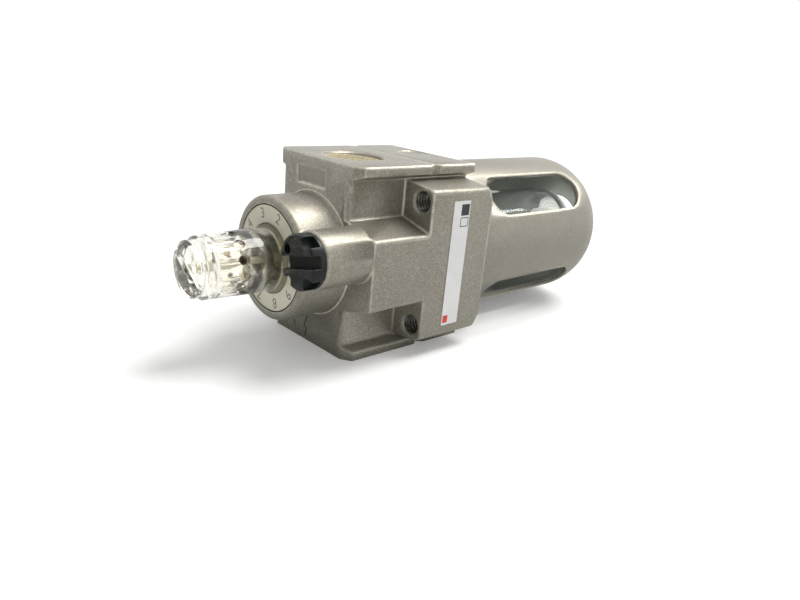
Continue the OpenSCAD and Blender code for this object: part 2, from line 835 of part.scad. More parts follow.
// The hollow of the dome, wide in the barrel and narrow in the stem
module dome_hollow() {
  crown = 1.2;
  rotate_extrude()
    polygon([[0, stem_z - past], [stem_bore / 2, stem_z - past], [stem_bore / 2, chamber_z],
             [chamber_d / 2, chamber_z + chamber_cone], [chamber_d / 2, chamber_top - crown],
             [chamber_d / 2 - crown, chamber_top], [0, chamber_top]]);
}

// One flute with the dimple at its foot, on the +X side of the barrel
module dome_flute() {
  flute_r = (pow(flute_w / 2, 2) + pow(flute_depth, 2)) / 2 / flute_depth;
  side_r = barrel_d / 2;
  translate([side_r + flute_r - flute_depth, 0, dimple_z])
    cylinder(r = flute_r, h = tip_z);
  translate([side_r - dimple_depth, 0, dimple_z])
    rotate([0, 90, 0])
      cylinder(d = dimple_d, h = dimple_depth + past);
}

// The clear dome with its flutes, its slot and the groove for the stem's seal
module sight_dome() {
  color("#d9d3b8", 0.75)
    difference() {
      dome_form();
      dome_hollow();
      for (i = [0 : flute_count - 1])
        rotate([0, 0, flute_turn + i * 360 / flute_count])
          dome_flute();
      rotate([0, 0, slot_turn])
        translate([-tip_d, -slot_w / 2, tip_z - slot_depth])
          cube([2 * tip_d, slot_w, slot_depth + past]);
      cylinder_up(chamber_top - past, shoulder_dome_z, needle_d + 2 * seat_fit);
      translate([0, 0, stem_seal_z - small_seal_t / 2 - seal_gap])
        ring(stem_d + past, stem_d - 2 * small_seal_t, small_seal_t + 2 * seal_gap);
    }
}

// The needle that hangs from the crown of the dome down to the retainer's floor
module adjusting_needle() {
  point = 1.2;
  color("#cfc7a4")
    rotate_extrude()
      polygon([[0, stem_z], [needle_d / 6, stem_z], [needle_d / 2, stem_z + point],
               [needle_d / 2, shoulder_dome_z - seat_fit], [0, shoulder_dome_z - seat_fit]]);
}

module dome_o_ring() {
  color("#151515")
    translate([0, 0, stem_seal_z])
      torus(stem_d - small_seal_t + 2 * seal_gap, small_seal_t - 2 * seal_gap);
}

// The plug: a rim, a fluted and slotted grip, a threaded stem and the seal's groove
module fill_plug() {
  edge = 0.4;
  foot_t = 0.3;
  grip_z = plug_z + plug_rim_t;
  color("#1a1b1c")
    translate([boss_offset, boss_y, 0])
      difference() {
        union() {
          cylinder_up(plug_z, grip_z, plug_rim_d);
          translate([0, 0, grip_z])
            cylinder(d1 = plug_grip_d, d2 = plug_top_d, h = plug_height - plug_rim_t - edge);
          translate([0, 0, plug_top_z - edge])
            cylinder(d1 = plug_top_d, d2 = plug_top_d - 2 * edge, h = edge);
          cylinder_up(boss_height - plug_thread, plug_z + plug_rim_t / 2, plug_stem_d);
        }
        translate([0, 0, plug_z - past])
          ring(plug_seat_d, plug_stem_d, plug_groove_depth + past);
        // The slot takes the place of the flutes in line with it
        for (i = [0 : plug_flutes - 1])
          if (2 * i % plug_flutes != 0)
            rotate([0, 0, plug_slot_turn + i * 360 / plug_flutes])
              translate([plug_flute_reach, 0, grip_z + foot_t])
                cylinder(d = plug_flute_d, h = plug_height);
        rotate([0, 0, plug_slot_turn])
          translate([-plug_rim_d, -plug_slot_w / 2, plug_top_z - plug_slot_depth])
            cube([2 * plug_rim_d, plug_slot_w, plug_slot_depth + past]);
      }
}

module plug_o_ring() {
  color("#151515")
    translate([boss_offset, boss_y, boss_height - fill_sink + small_seal_t / 2])
      torus(plug_seal_d, small_seal_t - 2 * seal_gap);
}

// Half section of the guard's outside or, with a wall, of its hollow
module guard_section(wall) {
  r = guard_d / 2 - wall;
  arc_r = guard_end_r - wall;
  intersection() {
    union() {
      translate([0, guard_arc_z])
        square([r, guard_top_z - guard_arc_z]);
      translate([0, guard_end_z + wall])
        square([r - arc_r, guard_end_r]);
      translate([r - arc_r, guard_arc_z])
        circle(r = arc_r);
    }
    translate([0, guard_end_z - past])
      square([r + past, guard_length + past]);
  }
}

// A slot with round ends, long in Y
module slot_shape(w, l) {
  square([w, l - w], center = true);
  for (side = [-1, 1])
    translate([0, side * (l - w) / 2])
      circle(d = w);
}

// Four long windows, two at the front and two at the back
module guard_windows() {
  for (half = [0, 180], side = [-1, 1])
    rotate([0, 0, half + side * window_angle])
      translate([0, 0, guard_top_z - window_drop - window_length / 2])
        rotate([90, 0, 0])
          linear_extrude(guard_d)
            slot_shape(window_w, window_length);
}

// The guard: a threaded collar, a ledge for the bowl, and a windowed tube with a rounded end
module bowl_guard() {
  tube_bore_d = guard_d - 2 * guard_wall;
  roof_t = 1.4;
  ledge_gap = 0.2;
  roof_z = guard_top_z - roof_t;
  cone_h = (tube_bore_d - collar_bore) / 2;
  edge = 0.4;
  color("#b0a796")
    difference() {
      union() {
        rotate_extrude()
          guard_section(0);
        cylinder_up(guard_top_z - edge, collar_top_z - edge, collar_d);
        translate([0, 0, collar_top_z - edge])
          cylinder(d1 = collar_d, d2 = collar_d - 2 * edge, h = edge);
      }
      difference() {
        rotate_extrude()
          guard_section(guard_wall);
        cylinder_up(roof_z, guard_top_z + past, guard_d);
        translate([0, 0, roof_z - cone_h])
          difference() {
            cylinder(d = guard_d, h = cone_h);
            cylinder(d1 = tube_bore_d, d2 = collar_bore, h = cone_h);
          }
      }
      cylinder_up(roof_z - past, ledge_z, collar_bore);
      cylinder_up(ledge_z - past, collar_top_z, bowl_d + 2 * ledge_gap);
      cylinder_up(flange_z, collar_top_z + past, collar_bore);
      cylinder_up(seat_z, seat_z + clip_t + loose_fit, clip_groove_d);
      cylinder_up(guard_end_z - past, guard_arc_z, guard_hole);
      guard_windows();
    }
}

// Half section of the bowl's tube or, with a wall, of its hollow
module bowl_section(wall) {
  r = bowl_d / 2 - wall;
  intersection() {
    union() {
      translate([0, bowl_arc_z])
        square([r, flange_z - bowl_arc_z]);
      translate([0, bowl_arc_z])
        circle(r = r);
    }
    translate([0, bowl_end_z])
      square([bowl_d, bowl_length]);
  }
}

// The clear bowl with its round end and its flange
module bowl() {
  edge = 0.6;
  color("#d7d9cf", 0.6)
    difference() {
      union() {
        rotate_extrude()
          bowl_section(0);
        cylinder_up(flange_z, seat_z, bowl_flange_d);
      }
      rotate_extrude()
        bowl_section(bowl_wall);
      cylinder_up(bowl_arc_z, seat_z + past, bowl_bore);
      translate([0, 0, seat_z - edge])
        cylinder(d1 = bowl_bore, d2 = bowl_bore + 2 * (edge + past), h = edge + past);
    }
}

// The split ring that snaps into the collar above the bowl's flange
module bowl_clip_ring() {
  outer_d = clip_groove_d - 2 * seat_fit;
  color("#8f9296")
    translate([0, 0, seat_z])
      difference() {
        ring(outer_d, outer_d - 2 * clip_w, clip_t);
        rotate([0, 0, -clip_gap / 2])
          rotate_extrude(angle = clip_gap)
            translate([outer_d / 2 - 2 * clip_w, -past])
              square([3 * clip_w, clip_t + 2 * past]);
      }
}

module bowl_o_ring() {
  color("#151515")
    translate([0, 0, (ceiling_z + seat_z) / 2])
      torus(bowl_seal_d, bowl_seal_t);
}

body_casting();
dial_plate();
dome_gasket();
dome_retainer();
drip_nozzle();
siphon_holder();
holder_o_ring();
siphon_check_ball();
siphon_tube();
siphon_strainer();
pressure_check_ball();
damper();
damper_retainer();
front_label();
sight_dome();
adjusting_needle();
dome_o_ring();
fill_plug();
plug_o_ring();
bowl_guard();
bowl();
bowl_clip_ring();
bowl_o_ring();
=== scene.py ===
"""Looks of the air line lubricator: its finishes, its fine pieces, the floor, the lamps and the camera."""

import logging
import math
from dataclasses import dataclass
from enum import Enum

import bmesh
import bpy
from mathutils import Matrix, Vector


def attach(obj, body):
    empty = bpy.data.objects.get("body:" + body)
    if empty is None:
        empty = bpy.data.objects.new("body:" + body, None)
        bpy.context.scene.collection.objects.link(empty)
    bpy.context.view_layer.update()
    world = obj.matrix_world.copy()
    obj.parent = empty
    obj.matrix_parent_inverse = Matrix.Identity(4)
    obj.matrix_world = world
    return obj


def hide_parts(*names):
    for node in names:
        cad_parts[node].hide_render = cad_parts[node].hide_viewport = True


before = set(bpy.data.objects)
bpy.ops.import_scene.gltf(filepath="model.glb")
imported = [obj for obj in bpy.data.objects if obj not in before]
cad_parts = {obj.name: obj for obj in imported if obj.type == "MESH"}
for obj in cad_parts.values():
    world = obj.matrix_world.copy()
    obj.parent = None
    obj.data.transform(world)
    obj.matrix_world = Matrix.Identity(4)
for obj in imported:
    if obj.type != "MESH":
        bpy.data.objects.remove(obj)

LOG = logging.getLogger("lubricator")
MM = 0.001

Colour = tuple[float, float, float]
Triple = tuple[float, float, float]
Pair = tuple[float, float]
Mesh = bmesh.types.BMesh
Node = bpy.types.Node
Socket = bpy.types.NodeSocket

ORIGIN: Triple = (0.0, 0.0, 0.0)
UPRIGHT: Triple = (0.0, 0.0, 1.0)
FLAT: Triple = (1.0, 1.0, 0.0)
# Where nearly all values of a noise lie.
NOISE_SPAN: Pair = (0.3, 0.7)


class Axis(Enum):
    """Directions that a thread or a hole can run in."""

    UP = "Z"
    LINE = "X"


class Tooth(Enum):
    """Thread forms, as pitch and depth in millimetres."""

    PIPE = (1.41, 0.62)
    SCREW = (0.8, 0.36)


class Tree:
    """A node tree that is written from left to right. Its numbers are the colour sockets of a Mix node."""

    MIX_LOW = 6
    MIX_HIGH = 7
    MIX_RESULT = 2

    def __init__(self, tree: bpy.types.NodeTree) -> None:
        """Keeps the tree.

        Args:
            tree: The node tree of a material, a world or a group.
        """
        self.tree = tree

    def add(self, kind: str, **values: object) -> Node:
        """Adds a node.

        Args:
            kind: Type of the node, without its ShaderNode prefix.
            values: Properties to set on the node.

        Returns:
            The new node.
        """
        node = self.tree.nodes.new("ShaderNode" + kind)
        for name, value in values.items():
            setattr(node, name, value)
        return node

    def wire(self, start: Socket, end: Socket) -> None:
        """Links one socket to another.

        Args:
            start: The output that gives the value.
            end: The input that takes it.
        """
        self.tree.links.new(start, end)

    def feed(self, value: object, socket: Socket) -> None:
        """Links a socket to an input, or sets a value there.

        Args:
            value: A socket, a number, a vector or a colour with its alpha.
            socket: The input that takes it.
        """
        if isinstance(value, Socket):
            self.wire(value, socket)
        else:
            socket.default_value = value

    def maths(self, operation: str, first: object, second: object = 0.0, clamp: bool = False) -> Socket:
        """Adds a Math node.

        Args:
            operation: Name of the operation.
            first: A socket or a number.
            second: A socket or a number.
            clamp: True to keep the result from 0 to 1.

        Returns:
            The result's socket.
        """
        node = self.add("Math", operation=operation, use_clamp=clamp)
        self.feed(first, node.inputs[0])
        self.feed(second, node.inputs[1])
        return node.outputs[0]

    def vector(self, operation: str, first: Socket, second: object = ORIGIN) -> Node:
        """Adds a Vector Math node.

        Args:
            operation: Name of the operation.
            first: Socket with a vector.
            second: A socket or a vector.

        Returns:
            The new node.
        """
        node = self.add("VectorMath", operation=operation)
        self.wire(first, node.inputs[0])
        self.feed(second, node.inputs[1])
        return node

    def blend(self, mask: Socket, low: object, high: object) -> Socket:
        """Mixes two colours by a mask.

        Args:
            mask: Socket that goes from 0 to 1.
            low: Colour or socket where the mask is 0.
            high: Colour or socket where the mask is 1.

        Returns:
            The mixed colour's socket.
        """
        node = self.add("Mix", data_type="RGBA")
        self.wire(mask, node.inputs["Factor"])
        for value, index in ((low, self.MIX_LOW), (high, self.MIX_HIGH)):
            self.feed(value if isinstance(value, Socket) else (*value, 1.0), node.inputs[index])
        return node.outputs[self.MIX_RESULT]

    def spread(self, value: Socket, low: float, high: float, start: float = 0.0, end: float = 1.0) -> Socket:
        """Maps a value from one span to another.

        Args:
            value: Socket with the value.
            low: Result at start.
            high: Result at end.
            start: Value that gives low.
            end: Value that gives high.

        Returns:
            The mapped value's socket.
        """
        node = self.add("MapRange")
        self.wire(value, node.inputs["Value"])
        for name, number in (("From Min", start), ("From Max", end), ("To Min", low), ("To Max", high)):
            node.inputs[name].default_value = number
        return node.outputs["Result"]

    def group(self, tree: bpy.types.NodeTree, place: Socket, **values: float) -> Node:
        """Adds a shared group.

        Args:
            tree: The group's tree.
            place: The coordinates' socket.
            values: Numbers that differ from the group's own.

        Returns:
            The group's node.
        """
        node = self.add("Group", node_tree=tree)
        self.wire(place, node.inputs["Vector"])
        for name, value in values.items():
            node.inputs[name].default_value = value
        return node

    def parts(self, place: Socket) -> bpy.types.NodeOutputs:
        """Splits a vector.

        Args:
            place: Socket with the vector.

        Returns:
            The outputs X, Y and Z.
        """
        node = self.add("SeparateXYZ")
        self.wire(place, node.inputs["Vector"])
        return node.outputs

    def reach(self, place: Socket, centre: Triple = ORIGIN) -> Socket:
        """Measures how far a place is from an upright line.

        Args:
            place: The coordinates' socket.
            centre: A point on the line.

        Returns:
            The distance's socket.
        """
        off = self.vector("SUBTRACT", place, centre)
        flat = self.vector("MULTIPLY", off.outputs["Vector"], FLAT)
        return self.vector("LENGTH", flat.outputs["Vector"]).outputs["Value"]


def empty_tree(owner: bpy.types.ID) -> Tree:
    """Clears the nodes of a material or a world.

    Args:
        owner: The material or the world.

    Returns:
        Its tree, without nodes.
    """
    owner.use_nodes = True
    owner.node_tree.nodes.clear()
    return Tree(owner.node_tree)


def new_group(name: str, inputs: dict[str, float], outputs: dict[str, str]) -> tuple[Tree, Node, Node]:
    """Starts a shader node group that takes coordinates and some numbers.

    Args:
        name: Name of the group.
        inputs: Default of each number.
        outputs: Kind of each output.

    Returns:
        The group's tree, its input node and its output node.
    """
    tree = bpy.data.node_groups.new(name, "ShaderNodeTree")
    tree.interface.new_socket(name="Vector", in_out="INPUT", socket_type="NodeSocketVector")
    for label, value in inputs.items():
        socket = tree.interface.new_socket(name=label, in_out="INPUT", socket_type="NodeSocketFloat")
        socket.default_value = value
    for label, kind in outputs.items():
        tree.interface.new_socket(name=label, in_out="OUTPUT", socket_type="NodeSocket" + kind)
    return Tree(tree), tree.nodes.new("NodeGroupInput"), tree.nodes.new("NodeGroupOutput")


class Effects:
    """The shader node groups that several finishes share."""

    GRAIN_ROUGHNESS = 0.6
    GRAIN_DETAIL = {"Fine": 3.0, "Broad": 4.0}
    BEVEL_SAMPLES = 6
    # Noise that breaks up the painted edge highlight, which also stands for handling wear.
    SHEEN_AND_WEAR_SCALE = 900.0
    SHEEN_AND_WEAR_SPAN: Pair = (0.35, 0.65)
    SHEEN_AND_WEAR_STRENGTH: Pair = (0.4, 1.2)

    def __init__(self) -> None:
        """Builds each group once."""
        self.grain = self._grain()
        self.flakes = self._flakes()
        self.edges = self._edges()

    def _grain(self) -> bpy.types.NodeTree:
        """Builds the grain of cast and moulded skins.

        Returns:
            A group that gives a fine height and a broad cloudy mask.
        """
        kit, source, result = new_group("skin_grain", {"Fine": 6000.0, "Broad": 120.0},
                                        {"Height": "Float", "Cloud": "Float"})
        for scale, target in (("Fine", "Height"), ("Broad", "Cloud")):
            noise = kit.add("TexNoise", noise_dimensions="3D")
            noise.inputs["Detail"].default_value = self.GRAIN_DETAIL[scale]
            noise.inputs["Roughness"].default_value = self.GRAIN_ROUGHNESS
            kit.wire(source.outputs["Vector"], noise.inputs["Vector"])
            kit.wire(source.outputs[scale], noise.inputs["Scale"])
            kit.wire(noise.outputs["Fac"], result.inputs[target])
        return kit.tree

    def _flakes(self) -> bpy.types.NodeTree:
        """Builds the metal flakes of a metallic paint.

        Returns:
            A group that gives a mask of bright flakes.
        """
        kit, source, result = new_group("paint_flakes", {"Scale": 5000.0, "Share": 0.3}, {"Mask": "Float"})
        cells = kit.add("TexVoronoi", feature="F1")
        kit.wire(source.outputs["Vector"], cells.inputs["Vector"])
        kit.wire(source.outputs["Scale"], cells.inputs["Scale"])
        tint = kit.add("SeparateColor")
        kit.wire(cells.outputs["Color"], tint.inputs["Color"])
        lit = kit.maths("LESS_THAN", tint.outputs["Red"], source.outputs["Share"])
        kit.wire(kit.maths("MULTIPLY", lit, tint.outputs["Green"]), result.inputs["Mask"])
        return kit.tree

    def _edges(self) -> bpy.types.NodeTree:
        """Builds the mask of edges where a highlight is painted, which also stands for handling wear.

        Returns:
            A group that gives a mask along edges, broken up by a noise, and a normal that rounds them.
        """
        kit, source, result = new_group("edge_highlight_and_wear", {"Radius": 0.3 * MM, "Gain": 6.0},
                                        {"Mask": "Float", "Normal": "Vector"})
        bevel = kit.add("Bevel", samples=self.BEVEL_SAMPLES)
        kit.wire(source.outputs["Radius"], bevel.inputs["Radius"])
        face = kit.add("NewGeometry")
        dot = kit.vector("DOT_PRODUCT", bevel.outputs["Normal"], face.outputs["Normal"])
        turn = kit.maths("SUBTRACT", 1.0, dot.outputs["Value"])
        noise = kit.add("TexNoise")
        noise.inputs["Scale"].default_value = self.SHEEN_AND_WEAR_SCALE
        kit.wire(source.outputs["Vector"], noise.inputs["Vector"])
        broken = kit.spread(noise.outputs["Fac"], *self.SHEEN_AND_WEAR_STRENGTH, *self.SHEEN_AND_WEAR_SPAN)
        gained = kit.maths("MULTIPLY", turn, source.outputs["Gain"])
        kit.wire(kit.maths("MULTIPLY", gained, broken, clamp=True), result.inputs["Mask"])
        kit.wire(bevel.outputs["Normal"], result.inputs["Normal"])
        return kit.tree


@dataclass
class Skin:
    """What a finish works on: its tree, the shared groups, and the sockets on their way to the shader."""

    kit: Tree
    effects: Effects
    shader: Node
    place: Socket
    height: Socket
    base: Socket
    rough: Socket
    normal: Socket | None = None


@dataclass(frozen=True)
class Finish:
    """A moulded, rubber or plain metal skin: two close colours, a fine grain and a span of roughness."""

    name: str
    colour: Colour
    shade: Colour
    metallic: float = 0.0
    rough: Pair = (0.4, 0.5)
    fine: float = 6000.0
    broad: float = 150.0
    bump: float = 0.00001
    specular: float = 0.5
    painted_emission: float = 0.0
    rough_by: str = "Height"

    def build(self, effects: Effects) -> bpy.types.Material:
        """Makes the material.

        Args:
            effects: The shared node groups.

        Returns:
            The new material.
        """
        material = bpy.data.materials.new(self.name)
        kit = empty_tree(material)
        skin = self.start(kit, effects)
        self.coat(skin)
        self.close(skin)
        return material

    def start(self, kit: Tree, effects: Effects) -> Skin:
        """Adds the shader, the grain, the mixed colour and the roughness.

        Args:
            kit: The material's tree.
            effects: The shared node groups.

        Returns:
            The sockets to work on.
        """
        out = kit.add("OutputMaterial")
        shader = kit.add("BsdfPrincipled")
        kit.wire(shader.outputs["BSDF"], out.inputs["Surface"])
        shader.inputs["Metallic"].default_value = self.metallic
        shader.inputs["Specular IOR Level"].default_value = self.specular
        # Painted light: emission on a part that is no lamp.
        if self.painted_emission:
            shader.inputs["Emission Color"].default_value = (*self.colour, 1.0)
            shader.inputs["Emission Strength"].default_value = self.painted_emission
        place = kit.add("TexCoord").outputs["Object"]
        grain = kit.group(effects.grain, place, Fine=self.fine, Broad=self.broad)
        cloud = kit.spread(grain.outputs["Cloud"], 0.0, 1.0, *NOISE_SPAN)
        base = kit.blend(cloud, self.shade, self.colour)
        rough = kit.spread(grain.outputs[self.rough_by], *self.rough, *NOISE_SPAN)
        return Skin(kit, effects, shader, place, grain.outputs["Height"], base, rough)

    def coat(self, skin: Skin) -> None:
        """Leaves a plain skin as it is.

        Args:
            skin: What to change.
        """

    def close(self, skin: Skin) -> None:
        """Wires the colour, the roughness and the relief to the shader.

        Args:
            skin: What to wire.
        """
        kit = skin.kit
        kit.wire(skin.base, skin.shader.inputs["Base Color"])
        kit.wire(skin.rough, skin.shader.inputs["Roughness"])
        bump = kit.add("Bump")
        if skin.normal is not None:
            kit.wire(skin.normal, bump.inputs["Normal"])
        bump.inputs["Distance"].default_value = self.bump
        bump.inputs["Strength"].default_value = 1.0
        kit.wire(skin.height, bump.inputs["Height"])
        kit.wire(bump.outputs["Normal"], skin.shader.inputs["Normal"])


@dataclass(frozen=True)
class MetallicPaint(Finish):
    """Satin metallic paint over a casting, with bright flakes, a painted highlight along its edges that also
    stands for handling wear, and a painted lighter inside where a radius is given.
    """

    flake: Colour = (0.86, 0.82, 0.7)
    flake_share: float = 0.35
    flake_scale: float = 7000.0
    flake_strength: float = 0.37
    flake_gloss: float = 0.12
    # Painted highlight along edges, which also stands for handling wear.
    edge_wear_and_highlight: Colour = (1.0, 0.95, 0.8)
    edge_radius: float = 0.95 * MM
    edge_gain: float = 7.5
    # Share of the painted edge highlight, from edge_low at the lowest to edge_strength at the highest place
    # of edge_span: painted light from above.
    edge_strength: float = 0.85
    edge_low: float = 0.12
    edge_span: Pair = (-17.0 * MM, 6.0 * MM)
    # Painted light: a lighter colour inside the guard stands in for the light that the clear bowl holds
    # back.
    bare: Colour = (0.4, 0.42, 0.38)
    inside_light_radius: float = 0.0

    def coat(self, skin: Skin) -> None:
        """Adds flakes, a painted edge highlight that also stands for handling wear and fades towards the
        floor as painted light from above, and a painted lighter inside.

        Args:
            skin: What to change.
        """
        kit = skin.kit
        flakes = kit.group(skin.effects.flakes, skin.place, Scale=self.flake_scale, Share=self.flake_share)
        mask = flakes.outputs["Mask"]
        speckled = kit.blend(kit.maths("MULTIPLY", mask, self.flake_strength), skin.base, self.flake)
        edges = kit.group(skin.effects.edges, skin.place, Radius=self.edge_radius, Gain=self.edge_gain)
        # Painted light from above: the edge highlight fades towards the floor.
        lit_from_above = kit.spread(kit.parts(skin.place)["X"], self.edge_low, self.edge_strength, *self.edge_span)
        skin.base = kit.blend(kit.maths("MULTIPLY", edges.outputs["Mask"], lit_from_above), speckled, self.edge_wear_and_highlight)
        # Painted light inside the given radius.
        if self.inside_light_radius:
            inside = kit.maths("LESS_THAN", kit.reach(skin.place), self.inside_light_radius)
            skin.base = kit.blend(inside, skin.base, self.bare)
        skin.rough = kit.maths("SUBTRACT", skin.rough, kit.maths("MULTIPLY", mask, self.flake_gloss))
        skin.normal = edges.outputs["Normal"]


@dataclass(frozen=True)
class GlossyMoulding(Finish):
    """A dark moulding whose rounded edges get a painted highlight, with painted shade in its slots and
    pockets.
    """

    edge_radius: float = 0.22 * MM
    edge_highlight: Colour = (0.07, 0.075, 0.075)
    pit_centre: Triple = (3.5 * MM, -14.55 * MM, 0.0)
    pit_radius: float = 4.9 * MM
    pit_level: float = 23.46 * MM
    pit_shade: Colour = (0.002, 0.006, 0.004)
    pit_rough: float = 0.6

    def coat(self, skin: Skin) -> None:
        """Paints a highlight on the edges, and paints shade on what lies inside the plug's outer form and
        below its end face.

        Args:
            skin: What to change.
        """
        kit = skin.kit
        edges = kit.group(skin.effects.edges, skin.place, Radius=self.edge_radius)
        # Painted highlight along the edges.
        coat = kit.blend(edges.outputs["Mask"], skin.base, self.edge_highlight)
        near = kit.maths("LESS_THAN", kit.reach(skin.place, self.pit_centre), self.pit_radius)
        below = kit.maths("LESS_THAN", kit.parts(skin.place)["Z"], self.pit_level)
        pit = kit.maths("MULTIPLY", near, below)
        # Painted shade in the slot, the pockets and the hole.
        skin.base = kit.blend(pit, coat, self.pit_shade)
        skin.rough = kit.maths("MAXIMUM", skin.rough, kit.maths("MULTIPLY", pit, self.pit_rough))
        skin.normal = edges.outputs["Normal"]


@dataclass(frozen=True)
class ClearPlastic(Finish):
    """Clear moulded plastic with a tint, faint flow marks and a slight haze."""

    rough_by: str = "Cloud"
    ior: float = 1.58
    clear: float = 0.84

    def coat(self, skin: Skin) -> None:
        """Lets light through.

        Args:
            skin: What to change.
        """
        skin.shader.inputs["Transmission Weight"].default_value = self.clear
        skin.shader.inputs["IOR"].default_value = self.ior


@dataclass(frozen=True)
class DomePlastic(ClearPlastic):
    """Clear plastic of the sight dome, with painted olive shade at its foot and painted brown and black
    shade in the dimples, standing in for the darker insides seen through it.
    """

    clear: float = 0.96
    foot: Pair = (20.4 * MM, 25.5 * MM)
    foot_shade: Colour = (0.5, 0.47, 0.32)
    foot_rough: float = 0.25
    dimples: int = 12
    dimple_turn: float = -98.0
    dimple_level: float = 28.95 * MM
    dimple_reach: float = 6.2 * MM
    dimple_edge: Pair = (0.85 * MM, 1.1 * MM)
    dimple_shades: tuple[Colour, Colour] = ((0.46, 0.4, 0.27), (0.06, 0.05, 0.035))

    def coat(self, skin: Skin) -> None:
        """Lets light through, and paints shade on the foot and the dimples.

        Args:
            skin: What to change.
        """
        super().coat(skin)
        kit = skin.kit
        parts = kit.parts(skin.place)
        near = kit.spread(parts["Z"], 1.0, 0.0, *self.foot)
        # Painted shade at the foot: the darker insides seen through it.
        tint = kit.blend(near, skin.base, self.foot_shade)
        skin.rough = kit.maths("ADD", skin.rough, kit.maths("MULTIPLY", near, self.foot_rough))
        pitch = math.tau / self.dimples
        first = math.radians(self.dimple_turn) - 0.5 * pitch
        turn = kit.maths("ARCTAN2", parts["Y"], parts["X"])
        count = kit.maths("DIVIDE", kit.maths("SUBTRACT", turn, first), pitch)
        share = kit.maths("SUBTRACT", kit.maths("FRACT", count), 0.5)
        across = kit.maths("MULTIPLY", share, pitch * self.dimple_reach)
        up = kit.maths("SUBTRACT", parts["Z"], self.dimple_level)
        squares = [kit.maths("MULTIPLY", side, side) for side in (across, up)]
        away = kit.maths("SQRT", kit.maths("ADD", *squares))
        odd = kit.maths("FLOORED_MODULO", kit.maths("FLOOR", count), 2.0)
        # Painted shade in the dimples, brown and black by turns.
        dimple_shade = kit.blend(odd, *self.dimple_shades)
        skin.base = kit.blend(kit.spread(away, 1.0, 0.0, *self.dimple_edge), tint, dimple_shade)


